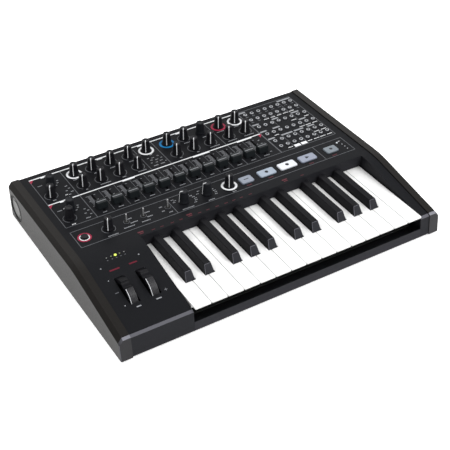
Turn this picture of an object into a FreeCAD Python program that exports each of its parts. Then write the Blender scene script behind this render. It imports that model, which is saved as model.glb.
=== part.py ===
import FreeCAD, Part
import math
import os

# Desktop synthesizer: two cheeks, a folded top panel, 25 keys, two wheels,
# knobs, sliders, buttons, levers and a patch field.  Millimetres.
# Working frame: X = 0 at the outer face of the left cheek, Y = 0 at the front
# bottom edge of the cheeks, Z = 0 at the underside of the cheeks.
# save() moves each node so the origin is the bottom centre and +Z is up.

# ---------------------------------------------------------------- overall
CHEEK_T = 16.0
LEFT_BLOCK_W = 86.3    # case top left of the keys, with the wheels
RIGHT_BLOCK_W = 14.8   # case top right of the keys
FACE_Y = 140.5         # upright face behind the keys
PANEL_DEPTH = 200.1    # control surface, from that face to the back
DEPTH = FACE_Y + PANEL_DEPTH
FOOT_H = 3.0
GAP = 0.3              # clearance between separate bodies
SEAM = 0.15            # visible joint between fixed pieces

# side profile of the cheeks
LEAN_Y = 2.95          # the front leans back by this much
LEAN_Z = 30.5
BEVEL_Y = 6.2
BEVEL_Z = 33.0
BEND_Y = 129.0
BEND_Z = 55.7
BACK_Z = 54.3
BEND_RUN = 15.0        # half length of the rounded bend
CHAMFER_X = 5.5
CHAMFER_Z = 6.8
CHEEK_EDGE_R = 1.5

# case between the cheeks
CASE_SET_Y = 0.95      # case front behind the cheek front
CASE_DROP = 1.4        # panel below the cheek top
CASE_Z0 = 0.75         # underside of the case
SHEET = 2.0
PLATE_T = 2.5
LIP_Z = 13.9

FACE_Z0 = 37.5

# keys
WHITE_PITCH = 23.5
WHITE_COUNT = 15
KEY_SIDE_L = 0.94      # opening wall to the first key
KEY_SIDE_R = 1.06
KEY_FRONT_Y = 1.4
KEY_TOP_Z = 36.0
KEY_LIP_T = 1.8
KEY_GAP = 1.1          # between two white keys
KEY_SKIRT_Y = 14.0
KEY_SKIRT_Z = 27.0
KEY_WALL = 1.5
KEY_CORNER_R = 1.2
PIVOT_BACK = 94.5      # hinge rod behind the upright face
PIVOT_Y = FACE_Y + PIVOT_BACK
PIVOT_Z = 29.5
PIVOT_ROD_R = 1.5
RUNNING = 0.06         # radial clearance of a turning fit
HUB_R = 4.2
TAIL_RUN = 12.0        # key tail behind the rod
TAIL_Y = PIVOT_Y + TAIL_RUN
BLACK_TOP_Z = 48.0
BLACK_BASE_W = 13.3
BLACK_TOP_W = 9.5
BLACK_FRONT_Y = 49.5
BLACK_FRONT_RUN = 6.0
BLACK_REAR_Y = FACE_Y - 1.1
BLACK_REAR_RUN = 0.8
BLACK_SKIRT = 3.0      # straight part of the cap below the white tops
BLACK_STEM_W = 9.0
NOTCH_SIDE = 0.9       # white key cut back from the black cap
# a black key sits on boundary n between white keys, moved by part of a pitch
BLACK_SHIFT = {1: -0.10, 2: 0.10, 4: -0.15, 5: 0.0, 6: 0.15}
OCTAVE = 7

# places that follow from the sizes above
CASE_X0 = CHEEK_T
KEY_XL = CASE_X0 + LEFT_BLOCK_W
KEY_X0 = KEY_XL + KEY_SIDE_L
KEY_XR = KEY_X0 + WHITE_COUNT * WHITE_PITCH + KEY_SIDE_R
CASE_X1 = KEY_XR + RIGHT_BLOCK_W
WIDTH = CASE_X1 + CHEEK_T
TAN_BACK = (BACK_Z - BEND_Z) / (DEPTH - BEND_Y)
TAN_FRONT = (BEND_Z - BEVEL_Z) / (BEND_Y - BEVEL_Y)
SLOPE = math.atan(TAN_FRONT)

# knobs
KNOB_H = 18.0
KNOB_BASE_R = 7.0
KNOB_TOP_R = 5.0
SELECT_BASE_R = 7.2
SELECT_TOP_R = 5.4
SELECT_H = 18.0
KNOB_LIFT = 0.5        # knob above the panel
SHAFT_R = 3.0
SHAFT_HOLE_R = 3.6
SHAFT_Z0 = 44.0
POT_Z0 = 42.4
POT_TOP_Z = 50.2
POT_HALF = 6.0
ROW1_Y = DEPTH - 27.3
ROW2_Y = ROW1_Y - 30.3
STRIP_Y = FACE_Y + 36.1
COLUMN_X = [CASE_X0 + d for d in (24.0, 72.0, 99.3, 128.5, 156.6, 185.2, 219.4, 247.2, 275.2, 306.3, 334.5)]
TOP_SELECT = (COLUMN_X[0] + 8.3, ROW1_Y - 9.3)
LOW_SELECT = (COLUMN_X[0] + 9.0, ROW2_Y - 43.0)
LOW_PLAIN = (COLUMN_X[0] + 0.6, ROW2_Y - 59.1)
SELECT_COLUMN = 8      # the selector in the first row
STRIP_PLAIN_X = CASE_X0 + 58.2
STRIP_RING_X = CASE_X0 + 242.0
SELECT_A_X = CASE_X0 + 170.7
SELECT_B_X = CASE_X0 + 206.8

# sliders
SLIDER_X0 = CASE_X0 + 71.7
SLIDER_PITCH = 23.87
SLIDER_PITCH_2 = 22.4   # the right half stands closer
SLIDER_WIDE = 6         # sliders at the wide pitch
SLIDER_COUNT = 12
SLIDER_DOWN = 8.0       # travel from the rest place
SLIDER_UP = 24.0
SLOT_SPARE = 11.0       # slot beyond the travel, for the stem and two ends
SLOT_L = SLIDER_DOWN + SLIDER_UP + SLOT_SPARE
SLOT_Y0 = ROW2_Y - 70.0
SLOT_Y1 = SLOT_Y0 + SLOT_L
SLOT_W = 2.6
SLIDER_REST_Y = SLOT_Y0 + SLIDER_DOWN + 4.0
CAP_W = 15.0
CAP_L = 12.0
CAP_H = 9.5
CAP_TOP_SCALE = 0.72
STEM_W = 1.4
STEM_L = 5.0

# patch field
JACK_X0 = CASE_X1 - 99.0
JACK_PITCH = 11.63
JACK_COLUMNS = 8
JACK_ROWS = [DEPTH - d for d in (22.3, 38.8, 60.8, 83.3, 104.8, 120.3)]
JACK_NUT_R = 2.9
JACK_NUT_H = 1.8
JACK_BORE_R = 1.75
JACK_BARREL_R = 2.4
JACK_BODY_X = 4.6
JACK_BODY_Y = 5.4

# strip buttons, levers, lights
BUTTON_LEFTS = [CASE_X1 - d for d in (196.9, 166.6, 132.8, 97.9, 53.3)]
BUTTON_WIDTHS = [20.1, 26.6, 27.9, 26.9, 20.1]
BUTTONS = [(x, x + w) for x, w in zip(BUTTON_LEFTS, BUTTON_WIDTHS)]
BUTTON_Y0 = STRIP_Y - 8.6
BUTTON_L = 15.0
BUTTON_Y1 = BUTTON_Y0 + BUTTON_L
BUTTON_H = 2.0
BUTTON_R = 2.5
BUTTON_TRAVEL = 1.0
ROUND_X = CASE_X0 + 23.6
ROUND_Y = STRIP_Y - 0.3
ROUND_R = 5.0
ROUND_H = 3.0
TOGGLES_X = [CASE_X0 + d for d in (84.8, 109.9, 146.6)]
TOGGLE_Y = STRIP_Y + 1.0
TOGGLE_H = 13.0
TOGGLE_R0 = 0.85
TOGGLE_R1 = 1.05
TOGGLE_NUT_R = 3.2
LED_R = 1.2
LED_BOARD_Z = 38.6     # small board under the lights of the left block
STRIP_LED_STEPS = [(25.2, 9.0), (20.6, 2.5), (20.2, -3.9), (20.2, -10.4)]
STRIP_LEDS = [(CASE_X1 - dx, STRIP_Y + dy) for dx, dy in STRIP_LED_STEPS]
ROW_LEDS_X = [CASE_X0 + d for d in (29.5, 36.0, 42.0, 48.0, 54.1)]
ROW_LEDS_Y = FACE_Y - 15.6

# wheels
WHEEL_X = {"pitch_wheel": CASE_X0 + 29.5, "mod_wheel": CASE_X0 + 58.6}
WHEEL_W = 10.4
WHEEL_SLOT_W = 14.4
WHEEL_MID_Y = 68.8     # middle of the slot
WHEEL_SLOT_HALF = 22.8
WHEEL_PROUD = 10.0     # rim above the block's face
WHEEL_SUNK = 17.3      # axle below it
WHEEL_R = WHEEL_PROUD + WHEEL_SUNK
WHEEL_Y = WHEEL_MID_Y + WHEEL_SUNK * math.sin(SLOPE)
WHEEL_Z = BEVEL_Z + TAN_FRONT * (WHEEL_MID_Y - BEVEL_Y) - CASE_DROP - WHEEL_SUNK * math.cos(SLOPE)
WHEEL_HUB_R = 5.0
AXLE_R = 2.0
WHEEL_RIM = 6.0
WHEEL_SPAN = 88.0      # half angle of the rim, degrees
HOLLOW_R = 8.0         # finger hollow behind the ribbed grip
HOLLOW_D = 4.0
HOLLOW_AT = {"pitch_wheel": 2.5, "mod_wheel": 11.0}   # degrees behind the middle

# rear
REAR_T = 2.0
REAR_Z = 26.0
INLET_X = CASE_X1 - 31.6
SWITCH_X = INLET_X - 30.0
USB_X = SWITCH_X - 30.0
DIN_X = [USB_X - 30.0, USB_X - 58.0]
PHONE_X = [CASE_X0 + d for d in (44.0, 68.0, 92.0, 116.0, 144.0, 168.0)]
PHONE_R = 3.2
DISC_BACK = 21.0
DISC_Y = DEPTH - DISC_BACK
DISC_Z = 23.6
DISC_R = 18.4
DISC_GROOVE = 1.0
DISC_T = 1.5
SWITCH_TILT = 6.0
SWITCH_Y = DEPTH - 3.0

# keybed frame, hinge rod and return springs
FRAME_Z0 = CASE_Z0 + PLATE_T + 1.0
FRAME_T = 1.5
FRAME_X0 = KEY_XL + 0.6
FRAME_X1 = KEY_XR - 0.6
WING = 3.4             # the frame is wider behind the side walls
END_T = 1.6
STOP_Y = 44.0
FRAME_Y0 = 24.0
FRAME_Y1 = PIVOT_Y + 27.0
COMB_Y = PIVOT_Y + 24.0
COMB_FINGER_Y = PIVOT_Y + 6.5
STOP_Z = 17.8
COMB_Z = 38.5
FINGER_T = 0.6
FINGER_CLEAR = 1.0     # relaxed finger above a tail at rest

# screws, posts and feet
SCREW_R = 1.5
SCREW_HEAD_R = 3.0
SCREW_HEAD_H = 1.3
CHEEK_SCREW_Z = 14.0
CHEEK_SCREWS = [(y, CHEEK_SCREW_Z) for y in (20.0, FACE_Y - 20.5, DEPTH - 80.6)]
POST_IN_X = 7.4
POST_FRONT_Y = 14.0
POST_BACK_Y = DEPTH - 7.6
POST_LEFT_X = CASE_X0 + POST_IN_X
POST_RIGHT_X = CASE_X1 - POST_IN_X
POSTS = [(POST_LEFT_X, POST_FRONT_Y), (KEY_XL - 10.3, POST_FRONT_Y), (POST_RIGHT_X, POST_FRONT_Y)]
POSTS += [(x, FACE_Y + 6.5) for x in (POST_LEFT_X, POST_RIGHT_X)]
POSTS += [(x, POST_BACK_Y) for x in (POST_LEFT_X, WIDTH / 2, POST_RIGHT_X)]
POST_R = 3.4
FOOT_R = 7.0
FOOT_INSET = 28.0
FOOT_SPOTS = [(x, y) for x in (CHEEK_T + FOOT_INSET, WIDTH - CHEEK_T - FOOT_INSET)
              for y in (FOOT_INSET, DEPTH - FOOT_INSET)]


def vec(x, y, z):
    return FreeCAD.Vector(x, y, z)


def box(x0, x1, y0, y1, z0, z1):
    return Part.makeBox(x1 - x0, y1 - y0, z1 - z0, vec(x0, y0, z0))


def rod_z(x, y, z0, z1, r):
    return Part.makeCylinder(r, z1 - z0, vec(x, y, z0), vec(0, 0, 1))


def rod_x(x0, x1, y, z, r):
    return Part.makeCylinder(r, x1 - x0, vec(x0, y, z), vec(1, 0, 0))


def rod_y(x, y0, y1, z, r):
    return Part.makeCylinder(r, y1 - y0, vec(x, y0, z), vec(0, 1, 0))


def cone_z(x, y, z0, z1, r0, r1):
    return Part.makeCone(r0, r1, z1 - z0, vec(x, y, z0), vec(0, 0, 1))


def join(shapes):
    base = shapes[0]
    if len(shapes) > 1:
        base = base.multiFuse(shapes[1:])
    return base.removeSplitter()


def take(base, tools):
    return base.cut(tools)


def group(shapes):
    return Part.makeCompound(shapes)


def save(name, shape):
    moved = shape.copy()
    moved.translate(vec(-WIDTH / 2, -DEPTH / 2, FOOT_H))
    moved.exportStep("parts/" + name + ".step")


def cheek_top(y):
    """Height of the cheek's top line at y."""
    if y < BEND_Y:
        return BEVEL_Z + TAN_FRONT * (y - BEVEL_Y)
    return BEND_Z + TAN_BACK * (y - BEND_Y)


def panel_top(y):
    """Height of the panel's top face at y, away from the rounded bend."""
    return cheek_top(y) - CASE_DROP


def outline(set_y, drop, z0, y_back):
    """Closed side profile moved back by set_y and lowered by drop, in a plane of constant X."""
    bend_a = vec(0, BEND_Y - BEND_RUN, cheek_top(BEND_Y - BEND_RUN) - drop)
    bend_b = vec(0, BEND_Y + BEND_RUN, cheek_top(BEND_Y + BEND_RUN) - drop)
    sag = BEND_RUN * (TAN_FRONT - TAN_BACK) / 4.0
    bend_m = vec(0, BEND_Y, BEND_Z - drop - sag)
    lean = LEAN_Y / LEAN_Z
    front_a = vec(0, set_y + lean * z0, z0)
    front_b = vec(0, set_y + lean * (LEAN_Z - drop), LEAN_Z - drop)
    bevel = vec(0, set_y + BEVEL_Y, cheek_top(set_y + BEVEL_Y) - drop)
    back_t = vec(0, y_back, cheek_top(y_back) - drop)
    back_b = vec(0, y_back, z0)
    edges = [
        Part.makeLine(front_a, front_b),
        Part.makeLine(front_b, bevel),
        Part.makeLine(bevel, bend_a),
        Part.Arc(bend_a, bend_m, bend_b).toShape(),
        Part.makeLine(bend_b, back_t),
        Part.makeLine(back_t, back_b),
        Part.makeLine(back_b, front_a),
    ]
    return Part.Wire(edges)


def slab(wire, x0, x1):
    face = Part.Face(wire)
    solid = face.extrude(vec(x1 - x0, 0, 0))
    solid.translate(vec(x0, 0, 0))
    return solid


def prism_x(points, x0, x1):
    """Prism along X from (y, z) points."""
    wire = Part.makePolygon([vec(x0, y, z) for y, z in points + points[:1]])
    return Part.Face(wire).extrude(vec(x1 - x0, 0, 0))


def cheek():
    full = outline(0.0, 0.0, 0.0, DEPTH)
    low = outline(0.0, CHAMFER_Z, 0.0, DEPTH)
    full.translate(vec(CHAMFER_X, 0, 0))
    outer = Part.makeLoft([low, full], True, True)
    inner = slab(outline(0.0, 0.0, 0.0, DEPTH), CHAMFER_X, CHEEK_T)
    body = join([outer, inner])
    rounded = []
    for edge in body.Edges:
        box_e = edge.BoundBox
        upright = box_e.XLength < 0.01 and box_e.ZLength > 15.0
        if upright and box_e.XMax < 0.01:
            rounded.append(edge)
    body = body.makeFillet(CHEEK_EDGE_R, rounded)
    pocket = rod_x(-1.0, DISC_T, DISC_Y, DISC_Z, DISC_R + DISC_GROOVE)
    holes = [pocket]
    for y, z in CHEEK_SCREWS:
        holes.append(rod_x(CHEEK_T - 9.0, CHEEK_T + 1.0, y, z, SCREW_R + 0.1))
    return take(body, holes)


def disc():
    body = rod_x(0.2, DISC_T, DISC_Y, DISC_Z, DISC_R)
    dish = Part.makeCone(DISC_R - 2.5, DISC_R - 7.0, 0.8, vec(0.19, DISC_Y, DISC_Z), vec(1, 0, 0))
    return take(body, [dish])


def mirrored(shape):
    return shape.mirror(vec(WIDTH / 2, 0, 0), vec(1, 0, 0))


left = cheek()
save("left_cheek", left)
save("right_cheek", mirrored(left))
one_disc = disc()
save("side_discs", group([one_disc, mirrored(one_disc)]))


# ---------------------------------------------------------------- knob places
def knob_places():
    plain, rings, selects = [], {}, {}
    ring_1 = {1: "a", 5: "b", 6: "c", 9: "d", 10: "e"}
    for i, x in enumerate(COLUMN_X):
        if i in ring_1:
            rings[ring_1[i]] = (x, ROW1_Y)
        elif i == SELECT_COLUMN:
            selects["b"] = (x, ROW1_Y)
        elif i > 0:
            plain.append((x, ROW1_Y))
        if i != 5:
            plain.append((x, ROW2_Y))
    plain += [(STRIP_PLAIN_X, STRIP_Y), LOW_PLAIN]
    rings["f"] = (STRIP_RING_X, STRIP_Y)
    selects["a"] = TOP_SELECT
    selects["c"] = LOW_SELECT
    selects["d"] = (SELECT_A_X, STRIP_Y)
    selects["e"] = (SELECT_B_X, STRIP_Y)
    return plain, rings, selects


PLAIN, RINGS, SELECTS = knob_places()
ALL_KNOBS = PLAIN + list(RINGS.values()) + list(SELECTS.values())


def slider_xs():
    xs = []
    for i in range(SLIDER_COUNT):
        low = min(i, SLIDER_WIDE)
        xs.append(SLIDER_X0 + low * SLIDER_PITCH + (i - low) * SLIDER_PITCH_2)
    return xs


SLIDERS = slider_xs()
JACKS = [(JACK_X0 + i * JACK_PITCH, y) for y in JACK_ROWS for i in range(JACK_COLUMNS)]


# ---------------------------------------------------------------- top panel
def top_panel():
    x0 = CASE_X0 + SEAM
    x1 = CASE_X1 - SEAM
    y_back = DEPTH - REAR_T - SEAM
    shell = slab(outline(CASE_SET_Y, CASE_DROP, CASE_Z0, y_back), x0, x1)
    hollow = outline(CASE_SET_Y + SHEET, CASE_DROP + SHEET, CASE_Z0 - 5.0, y_back + 5.0)
    shell = take(shell, [slab(hollow, x0 - 1.0, x1 + 1.0)])
    opening = box(KEY_XL, KEY_XR, -5.0, FACE_Y, -5.0, 80.0)
    shell = take(shell, [opening])
    # upright walls beside the keys follow the panel's outline
    plate_top = CASE_Z0 + PLATE_T + SEAM
    side = outline(CASE_SET_Y, CASE_DROP, CASE_Z0, DEPTH)
    walls = [slab(side, KEY_XL - SHEET, KEY_XL), slab(side, KEY_XR, KEY_XR + SHEET)]
    trim = box(KEY_XL - 9.0, KEY_XR + 9.0, CASE_SET_Y + SHEET + 1.0, DEPTH, -5.0, plate_top)
    behind = box(KEY_XL - 9.0, KEY_XR + 9.0, FACE_Y + SHEET, DEPTH + 9.0, -5.0, 80.0)
    walls = [take(wall, [trim, behind]) for wall in walls]
    face_top = panel_top(FACE_Y) - 1.0
    face = box(KEY_XL - 1.0, KEY_XR + 1.0, FACE_Y, FACE_Y + SHEET, FACE_Z0, face_top)
    posts = []
    for x, y in POSTS:
        posts.append(rod_z(x, y, plate_top, panel_top(y) - 1.0, POST_R))
    body = join([shell] + walls + [face] + posts)
    cuts = []
    for x, y in POSTS:
        cuts.append(rod_z(x, y, plate_top - 1.0, plate_top + 12.0, SCREW_R + 0.1))
    for x, y in ALL_KNOBS:
        cuts.append(rod_z(x, y, 45.0, 60.0, SHAFT_HOLE_R))
    for x in SLIDERS:
        cuts.append(box(x - SLOT_W / 2, x + SLOT_W / 2, SLOT_Y0, SLOT_Y1, 45.0, 60.0))
    for x, y in JACKS:
        cuts.append(rod_z(x, y, 45.0, 60.0, JACK_BARREL_R + 0.1))
    for xa, xb in BUTTONS:
        cuts.append(rounded_box(xa - GAP, xb + GAP, BUTTON_Y0 - GAP, BUTTON_Y1 + GAP,
                                45.0, 60.0, BUTTON_R + GAP))
    cuts.append(rod_z(ROUND_X, ROUND_Y, 45.0, 60.0, ROUND_R + GAP))
    for x in TOGGLES_X:
        cuts.append(rod_z(x, TOGGLE_Y, 45.0, 60.0, TOGGLE_NUT_R - 0.6))
    for x, y in LEDS:
        cuts.append(rod_z(x, y, panel_top(y) - 8.0, 60.0, LED_R + 0.05))
    for x in WHEEL_X.values():
        cuts.append(rounded_box(x - WHEEL_SLOT_W / 2, x + WHEEL_SLOT_W / 2,
                                WHEEL_MID_Y - WHEEL_SLOT_HALF, WHEEL_MID_Y + WHEEL_SLOT_HALF,
                                28.0, 60.0, 1.5))
    return take(body, cuts)


def rounded_box(x0, x1, y0, y1, z0, z1, r):
    body = box(x0, x1, y0, y1, z0, z1)
    upright = [e for e in body.Edges if e.BoundBox.ZLength > 0.5 * (z1 - z0)]
    return body.makeFillet(r, upright)


LEDS = STRIP_LEDS + [(x, ROW_LEDS_Y) for x in ROW_LEDS_X]
save("top_panel", top_panel())


# ---------------------------------------------------------------- bottom case
def rear_holes():
    y0, y1 = DEPTH - REAR_T - 3.0, DEPTH + 3.0
    cuts = []
    for x in PHONE_X:
        cuts.append(rod_y(x, y0, y1, REAR_Z, 4.6))
    for x in DIN_X:
        cuts.append(rod_y(x, y0, y1, REAR_Z, 8.0))
    cuts.append(rod_y(INLET_X, y0, y1, REAR_Z, 5.2))
    cuts.append(box(USB_X - 6.3, USB_X + 6.3, y0, y1, REAR_Z - 6.0, REAR_Z + 6.0))
    cuts.append(box(SWITCH_X - 7.0, SWITCH_X + 7.0, y0, y1, REAR_Z - 10.5, REAR_Z + 10.5))
    return cuts


def bottom_case():
    x0, x1 = CASE_X0, CASE_X1
    y_front = CASE_SET_Y + SHEET + 1.2
    z1 = CASE_Z0 + PLATE_T
    plate = box(x0, x1, y_front, DEPTH, CASE_Z0, z1)
    lip_x0, lip_x1 = KEY_XL + SEAM, KEY_XR - SEAM
    lean = LEAN_Y / LEAN_Z
    y_low = CASE_SET_Y + lean * CASE_Z0
    y_top = CASE_SET_Y + lean * LIP_Z
    lip = prism_x([(y_low, CASE_Z0), (y_front + 1.0, CASE_Z0), (y_front + 1.0, z1),
                   (y_top + SHEET, z1), (y_top + SHEET, LIP_Z), (y_top, LIP_Z)], lip_x0, lip_x1)
    rear_z1 = cheek_top(DEPTH) - CASE_DROP
    rear = box(x0, x1, DEPTH - REAR_T, DEPTH, CASE_Z0, rear_z1)
    # side walls stop under the panel and carry the cheek screws
    ears = []
    for xa in (x0, x1 - SHEET):
        for y, z in CHEEK_SCREWS:
            top = min(z + 9.0, panel_top(y) - SHEET - 1.0)
            ears.append(box(xa, xa + SHEET, y - 8.0, y + 8.0, CASE_Z0, top))
    body = join([plate, lip, rear] + ears)
    cuts = rear_holes()
    for x, y in POSTS:
        cuts.append(rod_z(x, y, CASE_Z0 - 1.0, z1 + 1.0, SCREW_R + 0.1))
    for y, z in CHEEK_SCREWS:
        cuts.append(rod_x(x0 - 1.0, x1 + 1.0, y, z, SCREW_R + 0.1))
    return take(body, cuts)


save("bottom_case", bottom_case())


# ---------------------------------------------------------------- keys
def black_centres():
    centres = {}
    for boundary in range(1, WHITE_COUNT):
        step = boundary % OCTAVE
        if step in BLACK_SHIFT:
            centres[boundary] = KEY_X0 + (boundary + BLACK_SHIFT[step]) * WHITE_PITCH
    return centres


BLACKS = black_centres()
NOTCH = BLACK_BASE_W / 2 + NOTCH_SIDE


def tail_span(index):
    """Left and right edge of a white key behind the black caps."""
    left_x = KEY_X0 + index * WHITE_PITCH + KEY_GAP / 2
    right_x = KEY_X0 + (index + 1) * WHITE_PITCH - KEY_GAP / 2
    if index in BLACKS:
        left_x = BLACKS[index] + NOTCH
    if index + 1 in BLACKS:
        right_x = BLACKS[index + 1] - NOTCH
    return left_x, right_x


def hub(x0, x1):
    return rod_x(x0, x1, PIVOT_Y, PIVOT_Z, HUB_R)


def bore(x0, x1):
    return rod_x(x0 - 1.0, x1 + 1.0, PIVOT_Y, PIVOT_Z, PIVOT_ROD_R + RUNNING)


def white_key(index):
    x0 = KEY_X0 + index * WHITE_PITCH + KEY_GAP / 2
    x1 = x0 + WHITE_PITCH - KEY_GAP
    ta, tb = tail_span(index)
    notch_y = BLACK_FRONT_Y - NOTCH_SIDE
    top_z0 = KEY_TOP_Z - KEY_LIP_T
    front = box(x0, x1, KEY_FRONT_Y, notch_y, top_z0, KEY_TOP_Z)
    corners = []
    for edge in front.Edges:
        if edge.BoundBox.ZLength > 1.0 and edge.BoundBox.YMax < KEY_FRONT_Y + 0.1:
            corners.append(edge)
    front = front.makeFillet(KEY_CORNER_R, corners)
    tail = box(ta, tb, notch_y - 1.0, TAIL_Y, top_z0, KEY_TOP_Z)
    head_skirt = box(x0 + 0.6, x1 - 0.6, KEY_SKIRT_Y, notch_y - 0.6, KEY_SKIRT_Z, KEY_TOP_Z - 0.5)
    head_room = box(x0 + 0.6 + KEY_WALL, x1 - 0.6 - KEY_WALL, KEY_SKIRT_Y + KEY_WALL,
                    notch_y - 0.6 - KEY_WALL, KEY_SKIRT_Z - 1.0, top_z0)
    tail_skirt = box(ta, tb, notch_y - 3.0, PIVOT_Y, KEY_SKIRT_Z, KEY_TOP_Z - 0.5)
    tail_room = box(ta + KEY_WALL, tb - KEY_WALL, notch_y - 3.0 + KEY_WALL,
                    PIVOT_Y - HUB_R, KEY_SKIRT_Z - 1.0, top_z0)
    head = take(head_skirt, [head_room])
    spine = take(tail_skirt, [tail_room])
    body = join([front, tail, head, spine, hub(ta, tb)])
    return take(body, [bore(ta, tb)])


def black_key(centre):
    half, top = BLACK_BASE_W / 2, BLACK_TOP_W / 2
    y0, y1 = BLACK_FRONT_Y, BLACK_REAR_Y
    ya, yb = y0 + BLACK_FRONT_RUN, y1 - BLACK_REAR_RUN

    def ring(xh, f, r, z):
        points = [vec(centre - xh, f, z), vec(centre + xh, f, z), vec(centre + xh, r, z),
                  vec(centre - xh, r, z), vec(centre - xh, f, z)]
        return Part.makePolygon(points)

    cap = Part.makeLoft([ring(half, y0, y1, KEY_TOP_Z), ring(top, ya, yb, BLACK_TOP_Z)], True, True)
    ridge = [e for e in cap.Edges if e.BoundBox.ZMin > KEY_TOP_Z - 0.01]
    slanted = [e for e in ridge if e.BoundBox.YMax < y0 + BLACK_FRONT_RUN + 0.1
               or e.BoundBox.ZMin > BLACK_TOP_Z - 0.01]
    slanted = [e for e in slanted if e.BoundBox.ZMax > BLACK_TOP_Z - 0.01]
    cap = cap.makeFillet(0.9, slanted)
    skirt = box(centre - half, centre + half, y0, y1, KEY_TOP_Z - BLACK_SKIRT, KEY_TOP_Z)
    stem_x0, stem_x1 = centre - BLACK_STEM_W / 2, centre + BLACK_STEM_W / 2
    stem = box(stem_x0, stem_x1, y0 + 4.0, PIVOT_Y, KEY_SKIRT_Z, KEY_TOP_Z - 0.5)
    room = box(stem_x0 + KEY_WALL, stem_x1 - KEY_WALL, y0 + 4.0 + KEY_WALL, PIVOT_Y - HUB_R,
               KEY_SKIRT_Z - 1.0, KEY_TOP_Z - BLACK_SKIRT)
    tail = box(stem_x0, stem_x1, y1 - 1.0, TAIL_Y, KEY_TOP_Z - BLACK_SKIRT + 1.0, KEY_TOP_Z - 0.5)
    body = join([cap, skirt, take(stem, [room]), tail, hub(stem_x0, stem_x1)])
    return take(body, [bore(stem_x0, stem_x1)])


for number in range(WHITE_COUNT):
    save("white_key_%02d" % (number + 1), white_key(number))
for number, boundary in enumerate(sorted(BLACKS)):
    save("black_key_%02d" % (number + 1), black_key(BLACKS[boundary]))


# ---------------------------------------------------------------- keybed
BRACKET_BLACKS = sorted(BLACKS)[1::3]


def bracket_profile():
    top = PIVOT_Z + 3.6
    return [(PIVOT_Y - 14.0, FRAME_Z0), (PIVOT_Y + 10.0, FRAME_Z0),
            (PIVOT_Y + 3.6, top), (PIVOT_Y - 3.6, top)]


def keybed_frame():
    z1 = FRAME_Z0 + FRAME_T
    parts = [box(FRAME_X0, FRAME_X1, FRAME_Y0, FRAME_Y1, FRAME_Z0, z1)]
    parts.append(box(FRAME_X0 - WING, FRAME_X1 + WING, PIVOT_Y - 30.0, FRAME_Y1, FRAME_Z0, z1))
    window = box(FRAME_X0 + 12.0, FRAME_X1 - 12.0, FACE_Y - 10.5, PIVOT_Y - 30.0, FRAME_Z0 - 1.0, z1 + 1.0)
    rail = box(FRAME_X0 + 3.0, FRAME_X1 - 3.0, STOP_Y, STOP_Y + 9.0, z1 - 0.5, STOP_Z)
    groove = box(FRAME_X0, FRAME_X1, STOP_Y + 2.0, STOP_Y + 7.0, z1 - 2.0, STOP_Z - 2.0)
    parts.append(take(rail, [groove]))
    comb = box(FRAME_X0 + 3.0, FRAME_X1 - 3.0, COMB_Y - 3.0, COMB_Y, z1 - 0.5, COMB_Z)
    parts.append(comb)
    spots = [FRAME_X0 - WING + 0.2, FRAME_X1 + WING - END_T - 0.2]
    for boundary in BRACKET_BLACKS:
        spots.append(BLACKS[boundary] - NOTCH + 0.75)
    for x in spots:
        parts.append(prism_x(bracket_profile(), x, x + END_T))
    for x, y in frame_feet():
        parts.append(rod_z(x, y, CASE_Z0 + PLATE_T, FRAME_Z0 + 0.5, 4.0))
    body = take(join(parts), [window])
    return take(body, [rod_x(0.0, WIDTH, PIVOT_Y, PIVOT_Z, PIVOT_ROD_R + 0.02)])


def frame_feet():
    spots = []
    for y in (FRAME_Y0 + 10.0, FACE_Y - 30.5, PIVOT_Y - 15.0):
        for x in (FRAME_X0 + 8.0, (FRAME_X0 + FRAME_X1) / 2, FRAME_X1 - 8.0):
            spots.append((x, y))
    return spots


def key_springs():
    """Leaf comb screwed on the rear rail, one finger over each key's tail."""
    strip_y = COMB_Y - 8.5
    parts = [box(FRAME_X0 + 3.0, FRAME_X1 - 3.0, strip_y, COMB_Y, COMB_Z, COMB_Z + FINGER_T)]
    spans = [tail_span(i) for i in range(WHITE_COUNT)]
    centres = [(a + b) / 2 for a, b in spans] + list(BLACKS.values())
    for x in centres:
        tip_z = KEY_TOP_Z + FINGER_CLEAR
        finger = [(strip_y + 1.0, COMB_Z), (strip_y + 1.0, COMB_Z + FINGER_T),
                  (COMB_FINGER_Y, tip_z + FINGER_T), (COMB_FINGER_Y, tip_z)]
        parts.append(prism_x(finger, x - 2.0, x + 2.0))
    return join(parts)


save("keybed_frame", keybed_frame())
save("hinge_rod", rod_x(FRAME_X0 - WING, FRAME_X1 + WING, PIVOT_Y, PIVOT_Z, PIVOT_ROD_R))
save("key_springs", key_springs())


# ---------------------------------------------------------------- wheels
def sector(radius, x0, x1, tilt):
    """Part disc about the wheel axis, centred on the top and turned back by tilt degrees."""
    part = Part.makeCylinder(radius, x1 - x0, vec(x0, WHEEL_Y, WHEEL_Z), vec(1, 0, 0), 2 * WHEEL_SPAN)
    middle = part.CenterOfMass
    angle = math.degrees(math.atan2(middle.z - WHEEL_Z, middle.y - WHEEL_Y))
    part.rotate(vec(0, WHEEL_Y, WHEEL_Z), vec(1, 0, 0), 90.0 + tilt - angle)
    return part


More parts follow.
